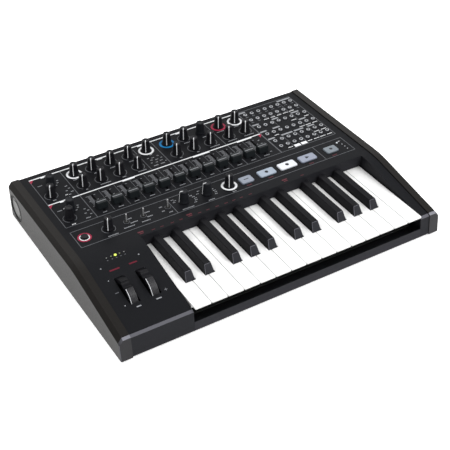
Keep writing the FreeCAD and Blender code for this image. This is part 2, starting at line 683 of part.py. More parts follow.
def wheel(name):
    xc = WHEEL_X[name]
    x0, x1 = xc - WHEEL_W / 2, xc + WHEEL_W / 2
    rim = sector(WHEEL_R, x0, x1, math.degrees(SLOPE))
    edges = [e for e in rim.Edges if e.BoundBox.XLength < 0.01 and e.Length > 2 * WHEEL_R]
    rim = rim.makeFillet(1.0, edges)
    recess = []
    for side in (x0 - 1.0, x1 - 3.5):
        ring = rod_x(side, side + 4.5, WHEEL_Y, WHEEL_Z, WHEEL_R - WHEEL_RIM)
        keep = rod_x(side - 1.0, side + 6.0, WHEEL_Y, WHEEL_Z, WHEEL_HUB_R)
        recess.append(take(ring, [keep]))
    body = take(rim, recess)
    body = join([body, rod_x(x0, x1, WHEEL_Y, WHEEL_Z, WHEEL_HUB_R)])
    cuts = [rod_x(x0 - 1.0, x1 + 1.0, WHEEL_Y, WHEEL_Z, AXLE_R + RUNNING)]
    hollow_z = WHEEL_Z + WHEEL_R + HOLLOW_R - HOLLOW_D
    hollow = rod_x(x0 - 1.0, x1 + 1.0, WHEEL_Y, hollow_z, HOLLOW_R)
    hollow.rotate(vec(0, WHEEL_Y, WHEEL_Z), vec(1, 0, 0), math.degrees(SLOPE) - HOLLOW_AT[name])
    cuts.append(hollow)
    return take(body, cuts)


for name in WHEEL_X:
    save(name, wheel(name))


def wheel_bracket():
    z0 = CASE_Z0 + PLATE_T
    x0 = WHEEL_X["pitch_wheel"] - WHEEL_W / 2 - 4.5
    x1 = WHEEL_X["mod_wheel"] + WHEEL_W / 2 + 2.5
    mid = (WHEEL_X["pitch_wheel"] + WHEEL_X["mod_wheel"]) / 2
    parts = [box(x0, x1 + 2.0, WHEEL_Y - 14.0, WHEEL_Y + 14.0, z0, z0 + 1.5)]
    top = WHEEL_Z + 4.5
    ear = [(WHEEL_Y - 14.0, z0), (WHEEL_Y + 14.0, z0), (WHEEL_Y + 4.5, top), (WHEEL_Y - 4.5, top)]
    for x in (x0, mid - 1.0, x1):
        parts.append(prism_x(ear, x, x + 2.0))
    parts.append(rod_x(x0, x1 + 2.0, WHEEL_Y, WHEEL_Z, AXLE_R))
    return join(parts)


save("wheel_bracket", wheel_bracket())


# ---------------------------------------------------------------- knobs
def knob(x, y, base_r, top_r, height):
    z0 = panel_top(y) + KNOB_LIFT
    z1 = z0 + height
    cap = cone_z(x, y, z0, z1, base_r, top_r)
    rim = [e for e in cap.Edges if e.BoundBox.ZMin > z1 - 0.01]
    cap = cap.makeFillet(0.8, rim)
    shaft = rod_z(x, y, SHAFT_Z0, z0 + 1.0, SHAFT_R)
    return join([cap, shaft])


def plain_knob(place):
    return knob(place[0], place[1], KNOB_BASE_R, KNOB_TOP_R, KNOB_H)


def select_knob(place):
    return knob(place[0], place[1], SELECT_BASE_R, SELECT_TOP_R, SELECT_H)


save("plain_knobs", group([plain_knob(p) for p in PLAIN]))
for key in sorted(RINGS):
    save("ring_knob_" + key, plain_knob(RINGS[key]))
for key in sorted(SELECTS):
    save("selector_knob_" + key, select_knob(SELECTS[key]))


# ---------------------------------------------------------------- sliders
def slider_cap(x):
    top_z = panel_top(SLIDER_REST_Y) + KNOB_LIFT
    s = CAP_TOP_SCALE
    y = SLIDER_REST_Y

    def ring(hx, hy, z):
        points = [vec(x - hx, y - hy, z), vec(x + hx, y - hy, z), vec(x + hx, y + hy, z),
                  vec(x - hx, y + hy, z), vec(x - hx, y - hy, z)]
        return Part.makePolygon(points)

    base = ring(CAP_W / 2, CAP_L / 2, top_z)
    crown = ring(CAP_W / 2, CAP_L / 2 * s, top_z + CAP_H)
    cap = Part.makeLoft([base, crown], True, True)
    cap = cap.makeFillet(0.7, [e for e in cap.Edges if e.BoundBox.ZMax > top_z + CAP_H - 0.01])
    groove = box(x - CAP_W, x + CAP_W, y - 0.7, y + 0.7, top_z + CAP_H - 0.5, top_z + CAP_H + 1.0)
    cap = take(cap, [groove])
    stem = box(x - STEM_W / 2, x + STEM_W / 2, y - STEM_L / 2, y + STEM_L / 2, SHAFT_Z0, top_z + 1.0)
    return join([cap, stem])


save("slider_caps", group([slider_cap(x) for x in SLIDERS]))


# ---------------------------------------------------------------- strip
def strip_button(span):
    z_top = panel_top(STRIP_Y) + BUTTON_H
    body = rounded_box(span[0], span[1], BUTTON_Y0, BUTTON_Y1, z_top - 5.5, z_top, BUTTON_R)
    rim = [e for e in body.Edges if e.BoundBox.ZMin > z_top - 0.01]
    return body.makeFillet(0.6, rim)


def round_button():
    z_top = panel_top(ROUND_Y) + ROUND_H
    body = rod_z(ROUND_X, ROUND_Y, z_top - 7.0, z_top, ROUND_R)
    rim = [e for e in body.Edges if e.BoundBox.ZMin > z_top - 0.01]
    return body.makeFillet(0.8, rim)


save("strip_buttons", group([strip_button(b) for b in BUTTONS]))
save("round_button", round_button())

TOGGLE_PIVOT_Z = panel_top(TOGGLE_Y) - 1.0


def toggle_lever(x):
    z = TOGGLE_PIVOT_Z
    lever = cone_z(x, TOGGLE_Y, z, z + TOGGLE_H + 1.0, TOGGLE_R0, TOGGLE_R1)
    rim = [e for e in lever.Edges if e.BoundBox.ZMin > z + TOGGLE_H]
    lever = lever.makeFillet(0.6, rim)
    ball = Part.makeSphere(1.7, vec(x, TOGGLE_Y, z))
    return join([lever, ball])


save("toggle_levers", group([toggle_lever(x) for x in TOGGLES_X]))


# ---------------------------------------------------------------- under the panel
def pot_body(x, y):
    body = box(x - POT_HALF, x + POT_HALF, y - POT_HALF, y + POT_HALF, POT_Z0, POT_TOP_Z)
    return take(body, [rod_z(x, y, SHAFT_Z0 - GAP, 60.0, SHAFT_R + RUNNING)])


def slider_body(x):
    y0, y1 = SLOT_Y0 - 4.0, SLOT_Y1 + 4.0
    body = box(x - 4.5, x + 4.5, y0, y1, POT_Z0, POT_TOP_Z)
    slot = box(x - SLOT_W / 2, x + SLOT_W / 2, SLOT_Y0, SLOT_Y1, SHAFT_Z0 - 1.0, 60.0)
    return take(body, [slot])


def button_body(xa, xb):
    """Switch block under a cap; the cap's skirt slides over its plunger."""
    z_top = panel_top(STRIP_Y) + BUTTON_H - 5.5 - BUTTON_TRAVEL - GAP
    return box(xa + 3.0, xb - 3.0, BUTTON_Y0 + 3.0, BUTTON_Y1 - 3.0, POT_Z0, z_top)


def round_body():
    z_top = panel_top(ROUND_Y) + ROUND_H - 7.0 - BUTTON_TRAVEL - GAP
    return rod_z(ROUND_X, ROUND_Y, POT_Z0, z_top, ROUND_R - 0.5)


def toggle_body(x):
    z = TOGGLE_PIVOT_Z
    top = panel_top(TOGGLE_Y)
    body = box(x - 5.0, x + 5.0, TOGGLE_Y - 5.0, TOGGLE_Y + 5.0, POT_Z0, POT_TOP_Z)
    neck = rod_z(x, TOGGLE_Y, POT_TOP_Z - 1.0, top + 0.6, TOGGLE_NUT_R - 0.8)
    nut = rod_z(x, TOGGLE_Y, top + 0.05, top + 1.5, TOGGLE_NUT_R)
    part = join([body, neck, nut])
    room = Part.makeSphere(1.7 + RUNNING, vec(x, TOGGLE_Y, z))
    flare = cone_z(x, TOGGLE_Y, z, top + 2.5, 1.75, 2.35)
    return take(part, [room, flare])


bodies = [pot_body(x, y) for x, y in ALL_KNOBS]
bodies += [slider_body(x) for x in SLIDERS]
bodies += [button_body(a, b) for a, b in BUTTONS]
bodies += [toggle_body(x) for x in TOGGLES_X] + [round_body()]
save("control_bodies", group(bodies))


def jack(x, y):
    top = panel_top(y)
    nut = rod_z(x, y, top + 0.05, top + JACK_NUT_H, JACK_NUT_R)
    rim = [e for e in nut.Edges if e.BoundBox.ZMin > top + JACK_NUT_H - 0.01]
    nut = nut.makeFillet(0.4, rim)
    barrel = rod_z(x, y, POT_TOP_Z - 1.0, top + 0.5, JACK_BARREL_R)
    body = box(x - JACK_BODY_X, x + JACK_BODY_X, y - JACK_BODY_Y, y + JACK_BODY_Y, POT_Z0, POT_TOP_Z)
    whole = join([nut, barrel, body])
    return take(whole, [rod_z(x, y, POT_Z0 + 1.0, top + 5.0, JACK_BORE_R)])


save("patch_jacks", group([jack(x, y) for x, y in JACKS]))


def led(x, y):
    top = panel_top(y)
    foot_z = POT_Z0 if y > ROUND_Y - 15.0 else LED_BOARD_Z
    stub = rod_z(x, y, foot_z, top, LED_R)
    dome = Part.makeSphere(LED_R, vec(x, y, top - 0.3), vec(0, 0, 1), 0, 90, 360)
    return join([stub, dome])


save("leds", group([led(x, y) for x, y in LEDS]))


# ---------------------------------------------------------------- boards
def circuit_boards():
    t = 1.6
    board_x0, board_x1 = CASE_X0 + 12.0, CASE_X1 - 11.6
    panel_board = box(board_x0, board_x1, FACE_Y + 24.5, DEPTH - 11.6, POT_Z0 - t, POT_Z0)
    z = CASE_Z0 + PLATE_T + 5.0
    main_x0, main_x1 = CASE_X0 + 24.0, CASE_X1 - 21.6
    main_y0, main_y1 = FRAME_Y1 + 6.0, DEPTH - 14.6
    main_y = (main_y0 + main_y1) / 2
    main_board = box(main_x0, main_x1, main_y0, main_y1, z, z + t)
    chips = [box(main_x0 + 50.0 + 70.0 * i, main_x0 + 72.0 + 70.0 * i, main_y - 11.0, main_y + 11.0,
                 z + t - 0.2, z + t + 2.5) for i in range(5)]
    legs = [rod_z(x, y, CASE_Z0 + PLATE_T, z + 0.2, 3.0) for x in (main_x0 + 8.0, WIDTH / 2, main_x1 - 8.0)
            for y in (main_y0 + 5.0, main_y1 - 5.0)]
    main_board = join([main_board] + chips + legs)
    z2 = FRAME_Z0 + FRAME_T
    contact_board = box(FRAME_X0 + 4.0, FRAME_X1 - 4.0, FACE_Y - 44.5, FACE_Y - 12.5, z2, z2 + t)
    lights_x0, lights_x1 = ROW_LEDS_X[0] - 11.5, ROW_LEDS_X[-1] + 11.9
    light_board = box(lights_x0, lights_x1, ROW_LEDS_Y - 8.0, ROW_LEDS_Y + 16.0,
                      LED_BOARD_Z - t, LED_BOARD_Z)
    stands = [rod_z(x, ROW_LEDS_Y + 12.0, CASE_Z0 + PLATE_T, LED_BOARD_Z, 2.5)
              for x in (lights_x0 + 4.0, lights_x1 - 4.0)]
    light_board = join([light_board] + stands)
    return group([panel_board, main_board, contact_board, light_board])


save("circuit_boards", circuit_boards())


# ---------------------------------------------------------------- rear connectors
def rear_socket(x, collar_r, hole_r, depth, collar_h):
    y1 = DEPTH - REAR_T - 0.1
    block = box(x - collar_r - 1.5, x + collar_r + 1.5, y1 - depth, y1, REAR_Z - 8.0, REAR_Z + 8.0)
    neck = rod_y(x, y1 - 1.0, DEPTH + collar_h, REAR_Z, collar_r)
    return take(join([block, neck]), [rod_y(x, y1 - depth + 2.0, DEPTH + 9.0, REAR_Z, hole_r)])


def din_socket(x):
    part = rear_socket(x, 7.8, 6.6, 9.0, -0.2)
    y1 = DEPTH - REAR_T - 0.1
    core = rod_y(x, y1 - 8.0, DEPTH - 1.0, REAR_Z, 5.4)
    pins = []
    for k in range(5):
        a = math.radians(180.0 + 45.0 * k)
        pins.append(rod_y(x + 3.4 * math.cos(a), y1 - 5.0, DEPTH, REAR_Z + 3.4 * math.sin(a), 0.8))
    return join([part, take(core, pins)])


def usb_socket(x):
    y1 = DEPTH - REAR_T - 0.1
    shell = box(x - 6.0, x + 6.0, y1 - 12.0, DEPTH - 0.2, REAR_Z - 5.6, REAR_Z + 5.6)
    room = box(x - 5.2, x + 5.2, y1 - 9.0, DEPTH + 1.0, REAR_Z - 4.8, REAR_Z + 4.8)
    tongue = box(x - 3.0, x + 3.0, y1 - 10.0, DEPTH - 1.5, REAR_Z - 1.5, REAR_Z + 1.5)
    return join([take(shell, [room]), tongue])


def inlet(x):
    part = rear_socket(x, 5.0, 3.6, 10.0, -0.2)
    pin = rod_y(x, DEPTH - REAR_T - 9.0, DEPTH - 1.5, REAR_Z, 0.9)
    return join([part, pin])


def switch_frame(x):
    y1 = DEPTH
    outer = box(x - 6.8, x + 6.8, y1 - 12.0, y1 - 0.1, REAR_Z - 10.3, REAR_Z + 10.3)
    bezel = box(x - 8.2, x + 8.2, y1 + 0.05, y1 + 1.2, REAR_Z - 11.7, REAR_Z + 11.7)
    neck = box(x - 6.8, x + 6.8, y1 - 0.2, y1 + 0.2, REAR_Z - 10.3, REAR_Z + 10.3)
    room = box(x - 5.6, x + 5.6, y1 - 9.0, y1 + 3.0, REAR_Z - 9.2, REAR_Z + 9.2)
    body = take(join([outer, neck, bezel]), [room])
    pin = rod_x(x - 6.0, x + 6.0, SWITCH_Y, REAR_Z, 1.0)
    return join([body, pin])


def rocker(x):
    y = SWITCH_Y
    face = [(y - 3.0, REAR_Z - 3.0), (y + 3.6, REAR_Z - 8.2), (y + 2.6, REAR_Z),
            (y + 3.6, REAR_Z + 8.2), (y - 3.0, REAR_Z + 3.0)]
    body = prism_x(face, x - 5.2, x + 5.2)
    body = join([body, rod_x(x - 5.2, x + 5.2, y, REAR_Z, 2.2)])
    body = take(body, [rod_x(x - 7.0, x + 7.0, y, REAR_Z, 1.0 + RUNNING)])
    body.rotate(vec(x, y, REAR_Z), vec(1, 0, 0), SWITCH_TILT)
    return body


sockets = [rear_socket(x, 4.5, PHONE_R, 14.0, 2.2) for x in PHONE_X]
sockets += [din_socket(x) for x in DIN_X]
sockets += [usb_socket(USB_X), inlet(INLET_X), switch_frame(SWITCH_X)]
save("rear_connectors", group(sockets))
save("power_switch", rocker(SWITCH_X))


# ---------------------------------------------------------------- feet and screws


def foot(x, y):
    return cone_z(x, y, -FOOT_H, CASE_Z0, FOOT_R - 0.6, FOOT_R)


save("feet", group([foot(x, y) for x, y in FOOT_SPOTS]))


def base_screw(x, y):
    head = rod_z(x, y, CASE_Z0 - SCREW_HEAD_H, CASE_Z0, SCREW_HEAD_R)
    slot = box(x - 2.0, x + 2.0, y - 0.4, y + 0.4, CASE_Z0 - SCREW_HEAD_H - 1.0, CASE_Z0 - 0.7)
    cross = box(x - 0.4, x + 0.4, y - 2.0, y + 2.0, CASE_Z0 - SCREW_HEAD_H - 1.0, CASE_Z0 - 0.7)
    shank = rod_z(x, y, CASE_Z0 - 0.1, CASE_Z0 + 12.0, SCREW_R)
    return take(join([head, shank]), [slot, cross])


def cheek_screw(y, z):
    x = CASE_X0 + SHEET
    head = rod_x(x, x + SCREW_HEAD_H, y, z, SCREW_HEAD_R)
    shank = rod_x(x - SHEET - 8.0, x + 0.1, y, z, SCREW_R)
    return join([head, shank])


screws = [base_screw(x, y) for x, y in POSTS]
sides = [cheek_screw(y, z) for y, z in CHEEK_SCREWS]
screws += sides + [mirrored(s) for s in sides]
save("screws", group(screws))
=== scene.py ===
import math

import bmesh
import bpy
from mathutils import Matrix, Vector


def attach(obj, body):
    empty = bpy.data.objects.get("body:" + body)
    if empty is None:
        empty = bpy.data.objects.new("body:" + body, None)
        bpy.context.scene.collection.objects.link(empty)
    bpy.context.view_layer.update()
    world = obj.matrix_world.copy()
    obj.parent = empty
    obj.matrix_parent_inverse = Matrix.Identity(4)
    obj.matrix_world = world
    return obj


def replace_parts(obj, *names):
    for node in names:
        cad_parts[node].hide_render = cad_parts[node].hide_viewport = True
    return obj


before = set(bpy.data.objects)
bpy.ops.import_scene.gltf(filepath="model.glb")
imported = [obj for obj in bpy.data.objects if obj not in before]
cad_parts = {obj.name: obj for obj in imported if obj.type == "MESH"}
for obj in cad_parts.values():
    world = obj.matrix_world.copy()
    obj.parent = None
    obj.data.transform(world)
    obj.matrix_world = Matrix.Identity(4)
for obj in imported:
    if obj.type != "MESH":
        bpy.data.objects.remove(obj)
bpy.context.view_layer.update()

# ------------------------------------------------------------------ sizes, mm, as in the CAD
WIDTH, DEPTH, FOOT_H = 487.6, 340.6, 3.0
CHEEK_T = 16.0
BEVEL_Y, BEVEL_Z = 6.2, 33.0
BEND_Y, BEND_Z, BACK_Z = 129.0, 55.7, 54.3
CASE_DROP = 1.4
KNOB_LIFT = 0.5
TAN_BACK = (BACK_Z - BEND_Z) / (DEPTH - BEND_Y)
TAN_FRONT = (BEND_Z - BEVEL_Z) / (BEND_Y - BEVEL_Y)
COLUMNS = [40.0, 88.0, 115.3, 144.5, 172.6, 201.2, 235.4, 263.2, 291.2, 322.3, 350.5]
ROW1, ROW2, STRIP = 313.3, 283.0, 176.6
SLIDERS = [87.7 + min(i, 6) * 23.87 + (i - min(i, 6)) * 22.4 for i in range(12)]
JACK_X = [372.6 + 11.63 * i for i in range(8)]
JACK_Y = [318.3, 301.8, 279.8, 257.3, 235.8, 220.3]


def at(x, y, z):
    """A point of the object in the row frame, in metres."""
    return Vector(((x - WIDTH / 2) / 1000, (y - DEPTH / 2) / 1000, (z + FOOT_H) / 1000))


def panel(y):
    """Height of the panel's face at y."""
    if y < BEND_Y:
        return BEVEL_Z + TAN_FRONT * (y - BEVEL_Y) - CASE_DROP
    return BEND_Z + TAN_BACK * (y - BEND_Y) - CASE_DROP


# ------------------------------------------------------------------ materials
def ramp_by(nt, value, stops):
    """A curve of value through (place, height) stops."""
    ramp = nt.nodes.new("ShaderNodeValToRGB")
    ends = ramp.color_ramp.elements
    for end, (place_at, height) in zip(ends, (stops[0], stops[-1])):
        end.position, end.color = place_at, (height, height, height, 1)
    for place_at, height in stops[1:-1]:
        ends.new(place_at).color = (height, height, height, 1)
    nt.links.new(value, ramp.inputs["Fac"])
    return ramp.outputs["Color"]


def shade_by_side(nt, source, bsdf, spec, bevel, level, chamfer):
    """Painted highlight where the front bevel faces, a light grey mixed into the colour; the gloss is level
    on top, chamfer on slanted sides, where a low chamfer darkens them as painted shade.
    """
    coord = nt.nodes.new("ShaderNodeTexCoord")
    split = nt.nodes.new("ShaderNodeSeparateXYZ")
    nt.links.new(coord.outputs["Normal"], split.inputs["Vector"])
    forward = nt.nodes.new("ShaderNodeMath")
    forward.operation = "MULTIPLY"
    forward.inputs[1].default_value = -1.0
    nt.links.new(split.outputs["Y"], forward.inputs[0])
    # Painted highlight mask: strongest where faces look forward and up, faint on upright fronts.
    highlight_mask = ramp_by(nt, forward.outputs["Value"],
                   ((0.0, 0.0), (0.35, 0.0), (0.55, 1.0), (0.68, 1.0), (0.85, 0.12), (1.0, 0.12)))
    mix = nt.nodes.new("ShaderNodeMix")
    mix.data_type = "RGBA"
    mix.inputs["B"].default_value = (bevel, bevel, bevel * 1.15, 1)
    nt.links.new(highlight_mask, mix.inputs["Factor"])
    nt.links.new(source, mix.inputs["A"])
    sideways = nt.nodes.new("ShaderNodeMath")
    sideways.operation = "ABSOLUTE"
    nt.links.new(split.outputs["X"], sideways.inputs[0])
    # The gloss falls to level on tops and to chamfer on slanted sides; on the cheeks the low chamfer value
    # darkens the chamfers as painted shade.
    gloss = ramp_by(nt, sideways.outputs["Value"],
                    ((0.0, level), (0.5, level), (0.62, chamfer), (0.9, chamfer), (0.97, 1.0), (1.0, 1.0)))
    dull = nt.nodes.new("ShaderNodeMath")
    dull.operation = "MULTIPLY"
    dull.inputs[1].default_value = spec
    nt.links.new(gloss, dull.inputs[0])
    nt.links.new(dull.outputs["Value"], bsdf.inputs["Specular IOR Level"])
    return mix.outputs["Result"]


def material(name, color, rough=0.5, metal=0.0, spec=0.5, vary=0.06, scale=300.0,
             bump=0.1, grain=900.0, emit=None, power=0.0, stretch=None, bevel=0.0, level=0.55,
             chamfer=1.0):
    """A paint with a faint mottle and a fine bump; bevel paints a highlight on what faces the front."""
    m = bpy.data.materials.new(name)
    m.use_nodes = True
    nt = m.node_tree
    bsdf = nt.nodes["Principled BSDF"]
    coord = nt.nodes.new("ShaderNodeTexCoord")
    place = nt.nodes.new("ShaderNodeMapping")
    if stretch:
        place.inputs["Scale"].default_value = stretch
    nt.links.new(coord.outputs["Object"], place.inputs["Vector"])
    noise = nt.nodes.new("ShaderNodeTexNoise")
    noise.inputs["Scale"].default_value = scale
    noise.inputs["Detail"].default_value = 4.0
    nt.links.new(place.outputs["Vector"], noise.inputs["Vector"])
    ramp = nt.nodes.new("ShaderNodeValToRGB")
    low = [max(0.0, c * (1 - vary)) for c in color]
    high = [min(1.0, c * (1 + vary)) for c in color]
    ramp.color_ramp.elements[0].position = 0.3
    ramp.color_ramp.elements[1].position = 0.7
    ramp.color_ramp.elements[0].color = (*low, 1)
    ramp.color_ramp.elements[1].color = (*high, 1)
    nt.links.new(noise.outputs["Fac"], ramp.inputs["Fac"])
    source = ramp.outputs["Color"]
    bsdf.inputs["Specular IOR Level"].default_value = spec
    if bevel > 0:
        source = shade_by_side(nt, source, bsdf, spec, bevel, level, chamfer)
    nt.links.new(source, bsdf.inputs["Base Color"])
    rough_map = nt.nodes.new("ShaderNodeMapRange")
    rough_map.inputs["To Min"].default_value = max(0.02, rough - 0.06)
    rough_map.inputs["To Max"].default_value = min(1.0, rough + 0.06)
    nt.links.new(noise.outputs["Fac"], rough_map.inputs["Value"])
    nt.links.new(rough_map.outputs["Result"], bsdf.inputs["Roughness"])
    fine = nt.nodes.new("ShaderNodeTexNoise")
    fine.inputs["Scale"].default_value = grain
    fine.inputs["Detail"].default_value = 2.0
    nt.links.new(place.outputs["Vector"], fine.inputs["Vector"])
    bump_node = nt.nodes.new("ShaderNodeBump")
    bump_node.inputs["Strength"].default_value = bump
    bump_node.inputs["Distance"].default_value = 0.0002
    nt.links.new(fine.outputs["Fac"], bump_node.inputs["Height"])
    nt.links.new(bump_node.outputs["Normal"], bsdf.inputs["Normal"])
    bsdf.inputs["Metallic"].default_value = metal
    if emit:
        bsdf.inputs["Emission Color"].default_value = (*emit, 1)
        bsdf.inputs["Emission Strength"].default_value = power
    return m


M = {
    # bevel: painted highlight, a light grey mixed in on the blocks' front bevels.
    "panel": material("panel_paint", (0.0062, 0.0066, 0.0082), 0.55, spec=0.15, bump=0.25,
                      grain=1500, bevel=0.11),
    # bevel: painted highlight on the cheeks' front bevels; chamfer=0.3 cuts the gloss on the top chamfers
    # as painted shade.
    "cheek": material("cheek_plastic", (0.0068, 0.0056, 0.0047), 0.42, spec=0.28, bump=0.35,
                      grain=1200, bevel=0.2, chamfer=0.3),
    # bevel: painted highlight on the faces that look forward and up; level=0.3 cuts the gloss on the tops.
    "case": material("case_paint", (0.004, 0.004, 0.0048), 0.55, spec=0.2, bump=0.2, grain=1500,
                     bevel=0.24, level=0.3),
    "white_key": material("white_key", (0.88, 0.88, 0.875), 0.22, spec=0.5, vary=0.01, bump=0.02),
    # bevel: painted highlight along the black keys' top front edges.
    "black_key": material("black_key", (0.0085, 0.0085, 0.010), 0.42, spec=0.07, vary=0.3,
                          scale=900.0, bump=0.4, grain=1500, bevel=0.2, level=0.7),
    "selector": material("selector_rubber", (0.009, 0.010, 0.0125), 0.5, spec=0.14, bump=0.15),
    "knob": material("knob_rubber", (0.006, 0.006, 0.0078), 0.45, spec=0.15, bump=0.15),
    "wheel": material("wheel_rubber", (0.0065, 0.0065, 0.008), 0.4, spec=0.07, bump=0.2),
    # Raised wheel ribs, lighter grey than the rubber: real ribs, with the lighter grey a painted sheen on
    # the wheels' front.
    "rib": material("wheel_rib", (0.035, 0.035, 0.038), 0.4, spec=0.3, bump=0.1),
    # A light grey strip for the wheels' left rims: painted highlight.
    "polished": material("wheel_edge", (0.55, 0.56, 0.58), 0.3, spec=0.5, vary=0.03),
    "metal": material("plated", (0.42, 0.42, 0.43), 0.35, metal=0.5, bump=0.05),
    "nut": material("nickel_nut", (0.38, 0.39, 0.41), 0.35, metal=0.8, bump=0.05),
    # throat: a dark plug at each jack's mouth, painted shade in place of the hole's depth.
    "throat": material("jack_throat", (0.004, 0.004, 0.005), 0.6, spec=0.05),
    "steel": material("steel", (0.5, 0.5, 0.51), 0.35, metal=1.0, stretch=(1, 8, 8)),
    "disc": material("disc_metal", (0.15, 0.15, 0.147), 0.4, metal=0.8, bump=0.1),
    "disc_rim": material("disc_rim", (0.007, 0.007, 0.007), 0.5, spec=0.15, bump=0.05),
    # disc_ring: a dark floor in the groove between dish and rim, painted shade in the groove.
    "disc_ring": material("disc_ring", (0.05, 0.05, 0.048), 0.35, metal=0.8, bump=0.1),
    "board": material("board", (0.02, 0.10, 0.045), 0.4),
    "inner": material("inner_black", (0.026, 0.026, 0.026), 0.7, spec=0.1),
    "rubber": material("foot_rubber", (0.02, 0.02, 0.02), 0.85, spec=0.2, bump=0.4),
    "zinc": material("zinc_screw", (0.3, 0.3, 0.31), 0.35, metal=0.9),
    "socket": material("socket_plastic", (0.012, 0.012, 0.014), 0.4, spec=0.3),
    "slider": material("slider_cap", (0.008, 0.0105, 0.012), 0.4, spec=0.18, bump=0.15),
    "lit": material("lit_button", (0.36, 0.40, 0.47), 0.35, vary=0.02),
    "ink_white": material("ink_white", (0.82, 0.83, 0.85), 0.5, spec=0.2, vary=0.03),
    "ink_grey": material("ink_grey", (0.30, 0.31, 0.33), 0.5, spec=0.2, vary=0.03),
    "ink_dim": material("ink_dim", (0.11, 0.115, 0.125), 0.5, spec=0.2, vary=0.03),
    "ink_mid": material("ink_mid", (0.19, 0.195, 0.21), 0.5, spec=0.2, vary=0.03),
    "ink_red": material("ink_red", (0.12, 0.010, 0.022), 0.5, spec=0.15, vary=0.05),
    "ink_dull_red": material("ink_dull_red", (0.10, 0.022, 0.030), 0.5, spec=0.15, vary=0.05),
    "ink_ring_red": material("ink_ring_red", (0.32, 0.020, 0.055), 0.5, spec=0.15, vary=0.05),
    "ink_blue": material("ink_blue", (0.006, 0.18, 0.44), 0.5, spec=0.15, vary=0.05),
    "ink_dark": material("ink_dark", (0.02, 0.022, 0.028), 0.5, spec=0.2, vary=0.05),
}


def button_colors(mat):
    """The five caps differ: the middle one is fully lit."""
    tree = mat.node_tree
    bsdf = tree.nodes["Principled BSDF"]
    coord = tree.nodes.new("ShaderNodeTexCoord")
    split = tree.nodes.new("ShaderNodeSeparateXYZ")
    tree.links.new(coord.outputs["Object"], split.inputs["Vector"])
    span = tree.nodes.new("ShaderNodeMapRange")
    span.inputs["From Min"].default_value = 0.03
    span.inputs["From Max"].default_value = 0.20
    tree.links.new(split.outputs["X"], span.inputs["Value"])
    ramp = tree.nodes.new("ShaderNodeValToRGB")
    ramp.color_ramp.interpolation = "CONSTANT"
    shades = ((0.0, (0.22, 0.25, 0.31)), (0.17, (0.31, 0.37, 0.45)), (0.36, (0.74, 0.77, 0.82)),
              (0.56, (0.25, 0.28, 0.36)), (0.80, (0.16, 0.19, 0.22)))
    elements = ramp.color_ramp.elements
    elements[0].position, elements[0].color = 0.0, (*shades[0][1], 1)
    elements[1].position, elements[1].color = shades[1][0], (*shades[1][1], 1)
    for place_at, shade in shades[2:]:
        new = elements.new(place_at)
        new.color = (*shade, 1)
    tree.links.new(span.outputs["Result"], ramp.inputs["Fac"])
    tree.links.new(ramp.outputs["Color"], bsdf.inputs["Base Color"])


button_colors(M["lit"])

paint = {
    "top_panel": "panel", "bottom_case": "case", "left_cheek": "cheek", "right_cheek": "cheek",
    "side_discs": "disc", "keybed_frame": "inner", "hinge_rod": "steel", "key_springs": "steel",
    "circuit_boards": "board", "control_bodies": "inner", "patch_jacks": "nut",
    "rear_connectors": "socket", "wheel_bracket": "steel", "feet": "rubber", "screws": "zinc",
    "pitch_wheel": "wheel", "mod_wheel": "wheel", "slider_caps": "slider", "strip_buttons": "lit",
    "round_button": "knob", "toggle_levers": "metal", "power_switch": "socket",
}
for name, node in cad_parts.items():
    kind = paint.get(name, "knob")
    if name.startswith("white_key"):
        kind = "white_key"
    elif name.startswith("black_key"):
        kind = "black_key"
    node.data.materials.clear()
    node.data.materials.append(M[kind])


# ------------------------------------------------------------------ mesh helpers
def add_object(name, bm, mat, body="case", smooth=False, bevel=0.0):
    """Makes the mesh an object that rides on body."""
    bmesh.ops.recalc_face_normals(bm, faces=bm.faces)
    mesh = bpy.data.meshes.new(name)
    bm.to_mesh(mesh)
    bm.free()
    mesh.materials.append(mat)
    for p in mesh.polygons:
        p.use_smooth = smooth
    obj = bpy.data.objects.new(name, mesh)
    bpy.context.scene.collection.objects.link(obj)
    if bevel:
        mod = obj.modifiers.new("edge", "BEVEL")
        mod.width = bevel
        mod.segments = 2
    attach(obj, body)
    return obj


INK_UP, INK_DOWN = 0.10, 0.05


